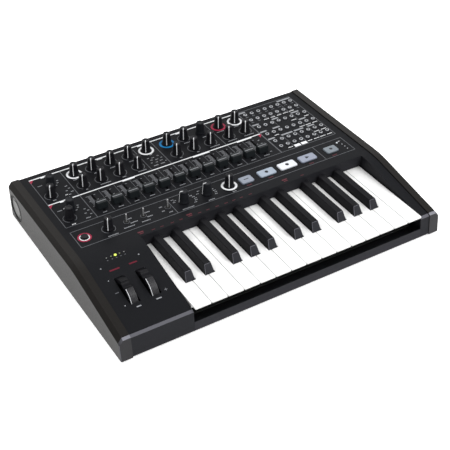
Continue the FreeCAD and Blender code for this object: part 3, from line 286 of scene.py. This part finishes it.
class Ink:
    """Flat printed shapes lying on the panel, gathered into one mesh."""

    def __init__(self, name, mat, lift=0.0):
        self.name, self.mat, self.lift = name, mat, lift
        self.bm = bmesh.new()

    def poly(self, points, base=None):
        up, down = [], []
        for x, y in points:
            z = panel(y) if base is None else base
            up.append(self.bm.verts.new(at(x, y, z + INK_UP + self.lift)))
            down.append(self.bm.verts.new(at(x, y, z - INK_DOWN)))
        n = len(points)
        self.bm.faces.new(up)
        self.bm.faces.new(list(reversed(down)))
        for i in range(n):
            j = (i + 1) % n
            self.bm.faces.new([up[i], down[i], down[j], up[j]])

    def line(self, x0, y0, x1, y1, w):
        d = Vector((x1 - x0, y1 - y0))
        n = Vector((-d.y, d.x)).normalized() * (w / 2)
        self.poly([(x0 - n.x, y0 - n.y), (x1 - n.x, y1 - n.y),
                   (x1 + n.x, y1 + n.y), (x0 + n.x, y0 + n.y)])

    def rect(self, x0, x1, y0, y1):
        self.poly([(x0, y0), (x1, y0), (x1, y1), (x0, y1)])

    def dot(self, x, y, r, base=None, n=16):
        self.poly([(x + r * math.cos(2 * math.pi * k / n), y + r * math.sin(2 * math.pi * k / n))
                   for k in range(n)], base)

    def arc(self, x, y, r0, r1, a0, a1, n=48):
        steps = max(2, int(n * abs(a1 - a0) / 360))
        for k in range(steps):
            a = math.radians(a0 + (a1 - a0) * k / steps)
            b = math.radians(a0 + (a1 - a0) * (k + 1) / steps)
            self.poly([(x + r * math.cos(turn), y + r * math.sin(turn))
                       for r, turn in ((r0, a), (r1, a), (r1, b), (r0, b))])

    def dashes(self, x, y, w, h=1.5, step=1.9, fill=0.72):
        """A label place: a short row of plain dashes."""
        n = max(1, round(w / step))
        pitch = w / n
        for k in range(n):
            a = x - w / 2 + k * pitch
            self.rect(a, a + pitch * fill, y - h / 2, y + h / 2)

    def done(self, slot="top_panel", body="case"):
        return add_object(self.name, self.bm, self.mat, body)


white = Ink("print_white", M["ink_white"])
grey = Ink("print_grey", M["ink_grey"])
dim = Ink("print_dim", M["ink_dim"])
mid = Ink("print_mid", M["ink_mid"])
red = Ink("print_red", M["ink_red"], 0.03)
dull_red = Ink("print_dull_red", M["ink_dull_red"], 0.03)
ring_red = Ink("print_ring_red", M["ink_ring_red"], 0.03)
blue = Ink("print_blue", M["ink_blue"], 0.02)

# ------------------------------------------------------------------ section frames
FIELD_X0, FIELD_X1, FIELD_Y0, FIELD_Y1 = 27.3, 459.2, 206.6, 330.7
MID_Y = 264.3
white.rect(FIELD_X0, 357.5, FIELD_Y1 - 1.0, FIELD_Y1 + 1.0)
white.rect(FIELD_X0, 364.5, MID_Y - 0.9, MID_Y + 0.9)
dim.line(357.5, FIELD_Y1, FIELD_X1, FIELD_Y1, 0.8)
dim.line(FIELD_X0, FIELD_Y0, FIELD_X1, FIELD_Y0, 0.8)
dim.line(FIELD_X0, FIELD_Y0, FIELD_X0, FIELD_Y1, 0.8)
dim.line(FIELD_X1, FIELD_Y0, FIELD_X1, FIELD_Y1, 0.8)
for x in (73.1, 216.9, 307.6):
    dim.line(x, FIELD_Y0, x, FIELD_Y1, 0.9)
dim.line(185.6, 267.0, 185.6, 325.0, 0.8)
dim.line(364.8, FIELD_Y0, 364.8, FIELD_Y1, 1.5)
STRIP_Y0, STRIP_Y1 = 158.7, 194.7
for y in (STRIP_Y0, STRIP_Y1):
    dim.line(FIELD_X0, y, FIELD_X1, y, 0.8)
for x in (FIELD_X0, FIELD_X1, 168.3, 409.3):
    dim.line(x, STRIP_Y0, x, STRIP_Y1, 0.8)
for a, b in ((43.8, 49.2), (130.4, 138.6), (194.6, 202.8), (258.0, 265.2)):
    white.rect(a, b, FIELD_Y1 - 3.0, FIELD_Y1 - 1.0)
for a, b in ((43.8, 49.2), (137.4, 156.6), (250.0, 277.2), (323.4, 348.6)):
    white.rect(a, b, MID_Y - 2.8, MID_Y - 0.9)
for x, y in ((FIELD_X0, FIELD_Y1 - 1.2), (FIELD_X0, MID_Y - 1.3), (360.2, MID_Y - 1.3)):
    ring_red.poly([(x, y), (x, y - 7.5), (x + 6.0, y)])

# ------------------------------------------------------------------ labels
for x, w in ((40.0, 5), (88.3, 3), (116.8, 16), (145.5, 6), (173.5, 13), (236.0, 4), (264.0, 4),
             (292.3, 16), (322.0, 15), (350.2, 16)):
    grey.dashes(x, 271.3, w)
for x, w in ((84.0, 6), (115.3, 5), (141.4, 8), (171.6, 8), (202.2, 4), (262.0, 10), (291.2, 6),
             (318.4, 12), (345.6, 8)):
    grey.dashes(x, 300.3, w)
for x, w in ((87.0, 6), (111.0, 8), (134.6, 7), (158.3, 8), (181.4, 6), (205.0, 9), (230.5, 8),
             (252.8, 6), (275.4, 10), (297.8, 8), (321.0, 8), (343.2, 9)):
    grey.dashes(x, 212.3, w, h=1.3)
for x, y, w in ((36.0, 311.8, 7), (56.0, 301.8, 3), (60.0, 306.8, 3), (61.5, 311.8, 3),
                (66.6, 293.3, 4), (68.0, 286.8, 3), (63.0, 282.8, 3), (69.0, 277.8, 4), (63.6, 272.8, 4),
                (36.0, 245.3, 7), (56.0, 235.8, 3), (60.0, 240.3, 3), (61.5, 244.8, 3),
                (66.1, 232.3, 3), (69.2, 227.3, 3), (63.1, 222.8, 3), (69.2, 218.3, 3), (62.6, 212.3, 7),
                (196.3, 272.8, 7), (206.9, 272.8, 7),
                (353.5, 250.8, 3), (353.5, 241.8, 3), (353.5, 217.3, 3)):
    grey.dashes(x, y, w)
for x, y, w in ((44.0, 246.8, 5), (40.2, 209.3, 6), (59.1, 274.3, 4)):
    white.dashes(x, y, w)

# graph-like legend between the rows
for x, y, w in ((194.0, 293.5, 3.0), (201.0, 292.0, 4.0), (209.5, 293.5, 3.0), (196.5, 287.5, 3.5),
                (204.0, 285.5, 4.5), (212.0, 287.0, 3.0), (193.5, 281.0, 3.0), (201.0, 279.5, 3.5),
                (208.5, 280.5, 4.5), (214.0, 276.5, 2.5)):
    grey.dashes(x, y, w, h=1.2, step=1.6)

# ------------------------------------------------------------------ sliders' scales
for x in SLIDERS:
    for k in range(11):
        y = 231.0 + 2.4 * k
        reach = 7.6 if k % 5 == 0 else 5.4
        mid.line(x - 2.0 - reach, y, x - 2.2, y, 0.9)
        if k % 5 == 0:
            grey.line(x + 2.4, y, x + 4.6, y, 0.6)
for a in (100.0, 123.6, 147.2, 169.7, 192.8, 241.4, 264.4, 286.5, 331.1):
    dim.line(a, 210.0, a, 261.0, 0.5)

# ------------------------------------------------------------------ patch field
for y, tabs in ((327.2, ((366.5, 377.6), (434.9, 459.0))),
                (288.3, ((366.5, 377.6), (401.2, 411.8), (434.9, 449.0))),
                (266.8, ((366.5, 377.6), (388.6, 400.7), (434.9, 447.0))),
                (244.8, ((366.5, 377.6), (389.1, 408.8), (411.3, 427.9), (434.9, 447.5)))):
    for a, b in tabs:
        grey.rect(a, b, y - 1.5, y + 1.5)
for y, spans in ((293.8, ((390.8, 399.7), (402.8, 410.8), (413.9, 421.9), (424.9, 434.0), (436.0, 445.0))),
                 (270.8, ((424.9, 434.0), (448.0, 456.0))),
                 (249.3, ((380.8, 388.7), (424.9, 434.0), (436.0, 445.0), (448.0, 457.0))),
                 (227.3, ((436.0, 445.0), (448.0, 457.0))),
                 (211.8, ((379.8, 387.7), (413.9, 421.9), (424.9, 434.0), (436.0, 445.5), (448.0, 457.0)))):
    for a, b in spans:
        white.dashes((a + b) / 2, y, b - a, h=1.5)
for a, b in ((389.8, 399.8), (401.8, 411.3)):
    white.rect(a, b, 208.0, 213.9)
for y in JACK_Y[:2]:
    for x in JACK_X:
        mid.dashes(x, y - 5.6, 5.0, h=1.2, step=1.6)
dim.line(400.6, 272.0, 400.6, 289.0, 0.6)
for x in (389.6, 412.2):
    dim.line(x, 207.0, x, 245.0, 0.6)
dim.line(435.3, 207.0, 435.3, 327.0, 0.6)

# ------------------------------------------------------------------ strip
for x, y, w in ((74.1, 161.6, 15), (107.2, 181.6, 7), (109.6, 172.1, 11), (99.7, 166.1, 16),
                (133.8, 182.1, 8), (133.4, 172.6, 8), (124.3, 166.1, 13), (154.0, 182.1, 5),
                (153.5, 172.6, 4), (161.6, 166.1, 6), (185.6, 161.6, 18), (221.8, 161.6, 10),
                (257.9, 161.6, 6)):
    grey.dashes(x, y, w)
for x, y in ((175.0, 188.0), (177.5, 185.0), (175.0, 182.0), (198.5, 187.5), (201.5, 184.0), (203.5, 180.0),
             (204.5, 176.0), (203.5, 172.0), (200.5, 168.0)):
    grey.dashes(x, y, 4.5, h=1.3)
for x, y in ((211.4, 182.6), (215.4, 187.6), (231.0, 186.0), (234.0, 182.0), (235.5, 178.0), (235.5, 174.0),
             (234.0, 170.0)):
    grey.dashes(x, y, 4.5, h=1.3)
for x in (100.8, 125.9, 162.6):
    dim.arc(x, 177.6, 3.6, 4.3, 0, 360)
for x, y in ((283.0, 163.5), (318.0, 163.5), (385.8, 162.0), (426.0, 162.0)):
    dull_red.dashes(x, y, 8, h=1.8)
white.dashes(451.4, 187.6, 3.0)

# ------------------------------------------------------------------ above the keys
for x in (106.3, 178.7, 330.4):
    dull_red.dashes(x, 148.6, 8.0, h=2.4, step=8.0, fill=1.0)
    dull_red.dashes(x, 145.2, 6.0, h=1.6, step=6.0, fill=1.0)
for x in (123.4, 135.9, 151.5, 164.5, 192.8, 205.8, 219.9, 234.0, 246.1, 258.1, 272.2, 357.6):
    dull_red.dashes(x, 144.6, 5.0, h=1.3)

# ------------------------------------------------------------------ left block
for x, y, r in ((31.2, 111.9, 0.95), (84.9, 112.9, 1.0), (31.2, 90.6, 0.85), (31.8, 47.6, 0.85)):
    grey.dot(x, y, r)
red.rect(39.4, 53.2, 102.8, 105.0)
red.rect(66.6, 77.6, 102.8, 105.0)
dim.dashes(32.0, 69.3, 5.0, h=1.2, step=5, fill=1.0)
grey.rect(43.6, 49.8, 39.1, 40.7)
grey.rect(70.6, 77.8, 39.1, 40.7)
mid.line(86.4, 48.3, 90.6, 48.3, 0.7)
mid.line(88.5, 46.2, 88.5, 50.4, 0.7)
for x in (45.5, 52.0, 58.0, 64.0, 70.1):
    dim.dashes(x, 120.4, 2.6, h=1.0)

# ------------------------------------------------------------------ knobs and their rings
def ring_of(ink, x, y, r0=8.3, r1=11.4):
    ink.arc(x, y, r0, r1, 0, 360, 64)


for i in (1, 5, 10):
    ring_of(white, COLUMNS[i], ROW1)
ring_of(blue, COLUMNS[6], ROW1)
ring_of(ring_red, COLUMNS[9], ROW1)
ring_of(white, 258.0, STRIP)
ring_red.arc(39.6, 176.3, 7.2, 9.3, 0, 360, 64)
white.arc(39.6, 176.3, 5.6, 7.1, 0, 360, 64)

PLAIN = [(COLUMNS[i], ROW1) for i in (2, 3, 4, 7)]
PLAIN += [(COLUMNS[i], ROW2) for i in range(11) if i != 5]
PLAIN += [(74.2, STRIP), (40.6, 223.9)]
for x, y in PLAIN:
    dim.arc(x, y, 8.6, 9.5, -55, 235, 40)
    for k in range(11):
        a = math.radians(-60 + 30 * k)
        dim.line(x + 8.2 * math.cos(a), y + 8.2 * math.sin(a),
                 x + 9.9 * math.cos(a), y + 9.9 * math.sin(a), 0.5)

RING = {"a": (COLUMNS[1], ROW1), "b": (COLUMNS[5], ROW1), "c": (COLUMNS[6], ROW1),
        "d": (COLUMNS[9], ROW1), "e": (COLUMNS[10], ROW1), "f": (258.0, STRIP)}
SELECT = {"a": (48.3, 304.0), "b": (COLUMNS[8], ROW1), "c": (49.0, 240.0),
          "d": (186.7, STRIP), "e": (222.8, STRIP)}

KNOB_R, KNOB_TOP_R, KNOB_H = 7.0, 5.0, 18.0
SELECT_R, SELECT_TOP_R = 7.2, 5.4
POINTER_W = 1.0
SEVEN = 240.0     # direction of the pointer: 30 degrees left of the front, as an angle from +X
LEFT = 180.0
AWAY = 59.0       # the line is at the back, out of sight from the front left


def lathe(bm, x, y, z0, rows, flutes=0, depth=0.0, n=72):
    """A turned shape from rows of (radius, height, fluted)."""
    rings_v = []
    for r, z, cut in rows:
        ring_v = []
        for k in range(n):
            a = 2 * math.pi * k / n
            rr = r - (depth * (0.5 + 0.5 * math.cos(flutes * a)) if cut else 0.0)
            ring_v.append(bm.verts.new(at(x + rr * math.cos(a), y + rr * math.sin(a), z0 + z)))
        rings_v.append(ring_v)
    for a_ring, b_ring in zip(rings_v, rings_v[1:]):
        for k in range(n):
            j = (k + 1) % n
            bm.faces.new([a_ring[k], a_ring[j], b_ring[j], b_ring[k]])
    bm.faces.new(list(reversed(rings_v[0])))
    bm.faces.new(rings_v[-1])


def strip(bm, points, width, angle, x, y):
    """A thin ribbon along (radius, height) points in the plane at angle, width across."""
    a = math.radians(angle)
    c, s = math.cos(a), math.sin(a)
    rows = []
    for r, z in points:
        rows.append([bm.verts.new(at(x + r * c - across * s, y + r * s + across * c, z))
                     for across in (-width / 2, width / 2)])
    for p, q in zip(rows, rows[1:]):
        bm.faces.new([p[0], p[1], q[1], q[0]])


def knob(name, x, y, base_r, top_r, height, angle, body, slot="knob"):
    """A fluted cap with a pointer line up its side and over its top."""
    z0 = panel(y) + KNOB_LIFT
    bm = bmesh.new()
    rows = [(base_r - 0.4, 0.0, False), (base_r, 0.4, False), (base_r - 0.02, 1.6, False)]
    steps = 7
    for k in range(steps + 1):
        t = k / steps
        z = 2.0 + (height - 3.6) * t
        r = base_r + (top_r - base_r) * (z / height)
        rows.append((r, z, True))
    rows += [(top_r + 0.25, height - 1.0, False), (top_r, height - 0.5, False),
             (top_r - 0.55, height - 0.1, False), (top_r - 1.1, height, False),
             (top_r - 1.6, height - 0.18, False), (0.6, height - 0.3, False)]
    lathe(bm, x, y, z0, rows, flutes=24, depth=0.22)
    obj = add_object(name, bm, M["selector" if slot == "selector_knob" else "knob"], body, smooth=True)
    bm = bmesh.new()
    up = 0.16
    top = z0 + height
    path = [(base_r + up, z0 + 1.4), (top_r + 0.35 + up, top - 1.2), (top_r + up, top - 0.35),
            (top_r - 0.6, top + 0.02), (top_r - 1.2, top + 0.06), (0.8, top - 0.12)]
    if angle == AWAY:
        path = path[:3]
    strip(bm, path, POINTER_W, angle, x, y)
    add_object(name + "_line", bm, M["ink_white"], body)
    return obj


plain_objects = [knob("plain_knob_%02d" % (i + 1), x, y, KNOB_R, KNOB_TOP_R, KNOB_H,
                      AWAY if y == 223.9 else SEVEN, "case") for i, (x, y) in enumerate(PLAIN)]
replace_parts(plain_objects[0], "plain_knobs")
for key, (x, y) in RING.items():
    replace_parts(knob("ring_knob_look_" + key, x, y, KNOB_R, KNOB_TOP_R, KNOB_H, SEVEN,
                     "ring_knob_" + key), "ring_knob_" + key)
for key, (x, y) in SELECT.items():
    turned = LEFT if key in "de" else AWAY
    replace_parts(knob("selector_look_" + key, x, y, SELECT_R, SELECT_TOP_R, KNOB_H, turned,
                     "selector_knob_" + key, slot="selector_knob"), "selector_knob_" + key)

# ------------------------------------------------------------------ side discs
DISC_Y, DISC_Z, DISC_R = DEPTH - 21.0, 23.6, 18.4
RIM_R = DISC_R - 2.4    # inside of the rim
DISH_R = DISC_R - 6.6   # the raised dish in the middle
DISC_BED = 1.45         # the pocket behind the disc is 1.5 deep


def disc_face(bm, rows, side, hollow, n=64):
    """Turned rings round the disc's axis: rows of (radius, depth from the cheek's face)."""
    loops = []
    for r, depth in rows:
        x = depth if side < 0 else WIDTH - depth
        loops.append([bm.verts.new(at(x, DISC_Y + r * math.cos(2 * math.pi * k / n),
                                      DISC_Z + r * math.sin(2 * math.pi * k / n))) for k in range(n)])
    for p, q in zip(loops, loops[1:]):
        for k in range(n):
            j = (k + 1) % n
            bm.faces.new([p[k], p[j], q[j], q[k]])
    if not hollow:
        bm.faces.new(loops[0][::-1])
        bm.faces.new(loops[-1])


disc_parts = []
for part_name, mat_key, rows in (
        ("rim", "disc_rim", ((RIM_R, DISC_BED), (DISC_R, DISC_BED), (DISC_R, 0.5),
                             (DISC_R - 0.5, 0.2), (DISC_R - 2.0, 0.2), (RIM_R, 0.6),
                             (RIM_R, DISC_BED))),
        # The groove's floor, darker than the dish: painted shade.
        ("ring", "disc_ring", ((RIM_R, DISC_BED), (RIM_R, 1.2))),
        ("dish", "disc", ((DISH_R, 1.25), (DISH_R, 0.55), (DISH_R - 0.5, 0.4),
                          (DISH_R - 2.4, 0.8), (0.5, 1.15)))):
    bm = bmesh.new()
    for side in (-1, 1):
        disc_face(bm, rows, side, hollow=part_name == "rim")
    disc_parts.append(add_object("disc_" + part_name, bm, M[mat_key], "case"))
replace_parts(disc_parts[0], "side_discs")

# ------------------------------------------------------------------ wheel grips
WHEEL_R, WHEEL_SUNK, WHEEL_MID = 27.3, 17.3, 68.8
WHEEL_TILT = math.atan(TAN_FRONT)
AXLE_Y = WHEEL_MID + WHEEL_SUNK * math.sin(WHEEL_TILT)
AXLE_Z = BEVEL_Z + TAN_FRONT * (WHEEL_MID - BEVEL_Y) - CASE_DROP - WHEEL_SUNK * math.cos(WHEEL_TILT)


def around(x, radius, angle):
    """A point on the wheel, angle in degrees to the back of straight up."""
    a = math.radians(angle)
    return at(x, AXLE_Y + radius * math.sin(a), AXLE_Z + radius * math.cos(a))


def band(bm, x0, x1, r0, r1, a0, a1, steps=24):
    """A curved bar round the wheel from angle a0 to a1."""
    rows = []
    for k in range(steps + 1):
        a = a0 + (a1 - a0) * k / steps
        rows.append([bm.verts.new(around(x, r, a)) for x, r in ((x0, r0), (x1, r0), (x1, r1), (x0, r1))])
    for p, q in zip(rows, rows[1:]):
        for k in range(4):
            j = (k + 1) % 4
            bm.faces.new([p[k], p[j], q[j], q[k]])
    bm.faces.new(rows[0][::-1])
    bm.faces.new(rows[-1])


WHEEL_HALF = 5.2
for name, xc, hollow_at in (("pitch_wheel", 45.5, 2.5), ("mod_wheel", 74.6, 11.0)):
    start = -math.degrees(WHEEL_TILT) - 68.0
    end = hollow_at - math.degrees(WHEEL_TILT) - 14.5
    bm = bmesh.new()
    # Ribs on the front part of each wheel only, lighter than the rubber: real ribs carrying a painted sheen
    # on the front.
    for k in range(6):
        x = xc - 3.2 + 1.36 * k
        band(bm, x, x + 0.75, WHEEL_R - 0.4, WHEEL_R + 0.22, start, end)
    add_object(name + "_ribs", bm, M["rib"], name)
    bm = bmesh.new()
    # A light grey strip on each wheel's left rim: painted highlight.
    band(bm, xc - WHEEL_HALF - 0.02, xc - WHEEL_HALF + 1.0, WHEEL_R - 1.0, WHEEL_R + 0.1, start, end)
    add_object(name + "_edge", bm, M["polished"], name, bevel=0.0003)

# ------------------------------------------------------------------ slider lines
SLIDER_Y, CAP_H = 225.0, 9.5
CAP_TOP = panel(SLIDER_Y) + KNOB_LIFT + CAP_H
LINE_HALF_W, LINE_HALF_D = 7.0, 0.45
bm = bmesh.new()
for x in SLIDERS:
    corners = [bm.verts.new(at(x + sx * LINE_HALF_W, SLIDER_Y + sy * LINE_HALF_D, z))
               for z in (CAP_TOP - 0.5, CAP_TOP + 0.02)
               for sx, sy in ((-1, -1), (1, -1), (1, 1), (-1, 1))]
    bm.faces.new(corners[0:4][::-1])
    bm.faces.new(corners[4:8])
    for k in range(4):
        j = (k + 1) % 4
        bm.faces.new([corners[k], corners[j], corners[j + 4], corners[k + 4]])
add_object("slider_lines", bm, M["ink_grey"], "slider_caps")

# ------------------------------------------------------------------ jack throats
# A dark plug at the mouth of each jack: painted shade in place of the hole's dark depth.
THROAT_R, THROAT_TOP = 1.72, 1.35
bm = bmesh.new()
for y in JACK_Y:
    for x in JACK_X:
        lathe(bm, x, y, panel(y), [(THROAT_R, -1.0, False), (THROAT_R, THROAT_TOP, False)], n=20)
add_object("jack_throats", bm, M["throat"], "case")

# ------------------------------------------------------------------ lit buttons
BUTTON_TOP = panel(STRIP) + 2.0


def rounded_loop(bm, x0, x1, y0, y1, z, r, n=5):
    """A loop of points round a rectangle with corners of radius r."""
    loop = []
    for cx, cy, start in ((x1 - r, y1 - r, 0), (x0 + r, y1 - r, 90),
                          (x0 + r, y0 + r, 180), (x1 - r, y0 + r, 270)):
        for k in range(n + 1):
            a = math.radians(start + 90 * k / n)
            loop.append(bm.verts.new(at(cx + r * math.cos(a), cy + r * math.sin(a), z)))
    return loop


def soft_pad(bm, x0, x1, y0, y1, z0, z1):
    """A rounded button cap with a soft shoulder."""
    loops = []
    for inset, z in ((0.15, z0), (0.15, z1 - 1.0), (0.3, z1 - 0.5), (0.75, z1 - 0.12), (1.3, z1)):
        loops.append(rounded_loop(bm, x0 + inset, x1 - inset, y0 + inset, y1 - inset, z,
                                  2.5 - 0.6 * inset))
    for p, q in zip(loops, loops[1:]):
        for k in range(len(p)):
            j = (k + 1) % len(p)
            bm.faces.new([p[k], p[j], q[j], q[k]])
    bm.faces.new(loops[0][::-1])
    bm.faces.new(loops[-1])


bm = bmesh.new()
for inset_right, width in zip((196.9, 166.6, 132.8, 97.9, 53.3), (20.1, 26.6, 27.9, 26.9, 20.1)):
    left = WIDTH - CHEEK_T - inset_right
    soft_pad(bm, left, left + width, STRIP - 8.6, STRIP + 6.4, BUTTON_TOP - 5.5, BUTTON_TOP)
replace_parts(add_object("button_caps", bm, M["lit"], "strip_buttons", smooth=True),
            "strip_buttons")
marks = Ink("button_marks", M["ink_dark"])
marks.poly([(281.0, 174.8), (288.5, 174.8), (288.5, 176.3), (281.0, 176.3)], BUTTON_TOP)
marks.dot(318.3, 175.5, 2.6, BUTTON_TOP)
marks.dot(352.8, 175.5, 2.8, BUTTON_TOP)
marks.poly([(384.4, 172.6), (390.4, 175.5), (384.4, 178.4)], BUTTON_TOP)
marks.dot(428.4, 175.5, 2.4, BUTTON_TOP)
marks.done("strip_buttons", "strip_buttons")

# ------------------------------------------------------------------ lights
SMALL_LIGHT_R = 0.9


def light(name, x, y, color, power, r):
    """A low dome that glows."""
    glow = material("light_" + name, [0.04 + 0.2 * c for c in color], 0.3, emit=color, power=power)
    bm = bmesh.new()
    z = panel(y)
    rows = [(r, -0.3, False), (r, 0.05, False)]
    rows += [(r * math.cos(t), 0.05 + r * 0.75 * math.sin(t), False)
             for t in (0.4, 0.8, 1.15, 1.45)]
    lathe(bm, x, y, z, rows, n=24)
    return add_object("led_" + name, bm, glow, "case", smooth=True)


leds = []
for i, (x, c, p) in enumerate(((45.5, (0.6, 0.65, 0.6), 0.04), (52.0, (0.5, 0.65, 0.3), 0.16),
                               (58.0, (0.72, 0.9, 0.10), 1.3), (64.0, (0.5, 0.6, 0.3), 0.14),
                               (70.1, (0.6, 0.6, 0.6), 0.05))):
    leds.append(light("row_%d" % (i + 1), x, 124.9, c, p, 1.75 if i == 2 else SMALL_LIGHT_R))
for i, (x, y) in enumerate(((446.4, 185.6), (451.0, 179.1), (451.4, 172.7), (451.4, 166.2))):
    power, radius = (0.7, 1.3) if i == 0 else (0.12, SMALL_LIGHT_R)
    leds.append(light("strip_%d" % (i + 1), x, y, (0.9, 0.95, 1.0), power, radius))
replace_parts(leds[0], "leds")

for ink in (white, grey, mid, dim, red, dull_red, ring_red, blue):
    ink.done()

# ------------------------------------------------------------------ stage
WORLD_STRENGTH = 0.45     # lights the object
FLOOR_GLOW = 0.6          # only for the rays that show the background
FLOOR_HALF = 3.0


def seen_rays(tree):
    """1 for the rays that show the background: camera, glossy and transmission."""
    rays = tree.nodes.new("ShaderNodeLightPath")
    first = tree.nodes.new("ShaderNodeMath")
    first.operation = "MAXIMUM"
    second = tree.nodes.new("ShaderNodeMath")
    second.operation = "MAXIMUM"
    tree.links.new(rays.outputs["Is Camera Ray"], first.inputs[0])
    tree.links.new(rays.outputs["Is Glossy Ray"], first.inputs[1])
    tree.links.new(first.outputs["Value"], second.inputs[0])
    tree.links.new(rays.outputs["Is Transmission Ray"], second.inputs[1])
    return second.outputs["Value"]


def white_light(tree, strength):
    """A white background of the given strength."""
    node = tree.nodes.new("ShaderNodeBackground")
    node.inputs["Color"].default_value = (1, 1, 1, 1)
    node.inputs["Strength"].default_value = strength
    return node.outputs["Background"]


world = bpy.data.worlds.new("studio")
bpy.context.scene.world = world
world.use_nodes = True
tree = world.node_tree
tree.nodes.clear()
out = tree.nodes.new("ShaderNodeOutputWorld")
mix = tree.nodes.new("ShaderNodeMixShader")
tree.links.new(seen_rays(tree), mix.inputs["Fac"])
tree.links.new(white_light(tree, WORLD_STRENGTH), mix.inputs[1])
tree.links.new(white_light(tree, 1.0), mix.inputs[2])
tree.links.new(mix.outputs["Shader"], out.inputs["Surface"])

bm = bmesh.new()
bmesh.ops.create_grid(bm, x_segments=1, y_segments=1, size=FLOOR_HALF)
floor_mesh = bpy.data.meshes.new("floor")
bm.to_mesh(floor_mesh)
bm.free()
floor = bpy.data.objects.new("floor", floor_mesh)
bpy.context.scene.collection.objects.link(floor)
floor_material = bpy.data.materials.new("floor_paint")
floor_material.use_nodes = True
tree = floor_material.node_tree
paper = tree.nodes["Principled BSDF"]
paper.inputs["Base Color"].default_value = (0.9, 0.9, 0.9, 1)
paper.inputs["Roughness"].default_value = 0.9
paper.inputs["Specular IOR Level"].default_value = 0.0
glow = tree.nodes.new("ShaderNodeEmission")
glow.inputs["Strength"].default_value = FLOOR_GLOW
lifted = tree.nodes.new("ShaderNodeAddShader")
mix = tree.nodes.new("ShaderNodeMixShader")
tree.links.new(paper.outputs["BSDF"], lifted.inputs[0])
tree.links.new(glow.outputs["Emission"], lifted.inputs[1])
tree.links.new(seen_rays(tree), mix.inputs["Fac"])
tree.links.new(paper.outputs["BSDF"], mix.inputs[1])
tree.links.new(lifted.outputs["Shader"], mix.inputs[2])
tree.links.new(mix.outputs["Shader"], tree.nodes["Material Output"].inputs["Surface"])
floor.data.materials.append(floor_material)


def lamp(name, where, size, power):
    """A round soft lamp that points at the panel."""
    data = bpy.data.lights.new(name, "AREA")
    data.shape = "DISK"
    data.size = size
    data.energy = power
    obj = bpy.data.objects.new(name, data)
    bpy.context.scene.collection.objects.link(obj)
    obj.location = where
    obj.rotation_euler = (Vector(AIM) - Vector(where)).to_track_quat("-Z", "Y").to_euler()


AIM = (0, 0, 0.03)
lamp("key_lamp", (-1.5, 0.3, 1.9), 1.3, 21)
lamp("front_lamp", (0.9, -1.15, 1.65), 1.2, 32)
lamp("back_lamp", (1.2, 2.0, 1.85), 1.4, 7)

# ------------------------------------------------------------------ camera
AZIMUTH, ELEVATION, ROLL = -31.04, 38.07, -0.19
CAMERA_AT = (-0.5950, -0.9946, 0.9060)
LENS = 84.22
cam_data = bpy.data.cameras.new("camera")
cam_data.sensor_width = 36.0
cam_data.lens = LENS
cam_data.clip_start = 0.05
cam = bpy.data.objects.new("camera", cam_data)
bpy.context.scene.collection.objects.link(cam)
turn = (Matrix.Rotation(math.radians(AZIMUTH), 4, "Z")
        @ Matrix.Rotation(math.radians(90 - ELEVATION), 4, "X")
        @ Matrix.Rotation(math.radians(ROLL), 4, "Z"))
cam.matrix_world = Matrix.Translation(CAMERA_AT) @ turn
bpy.context.scene.camera = cam
bpy.context.scene.view_settings.view_transform = "Standard"

bpy.context.view_layer.update()
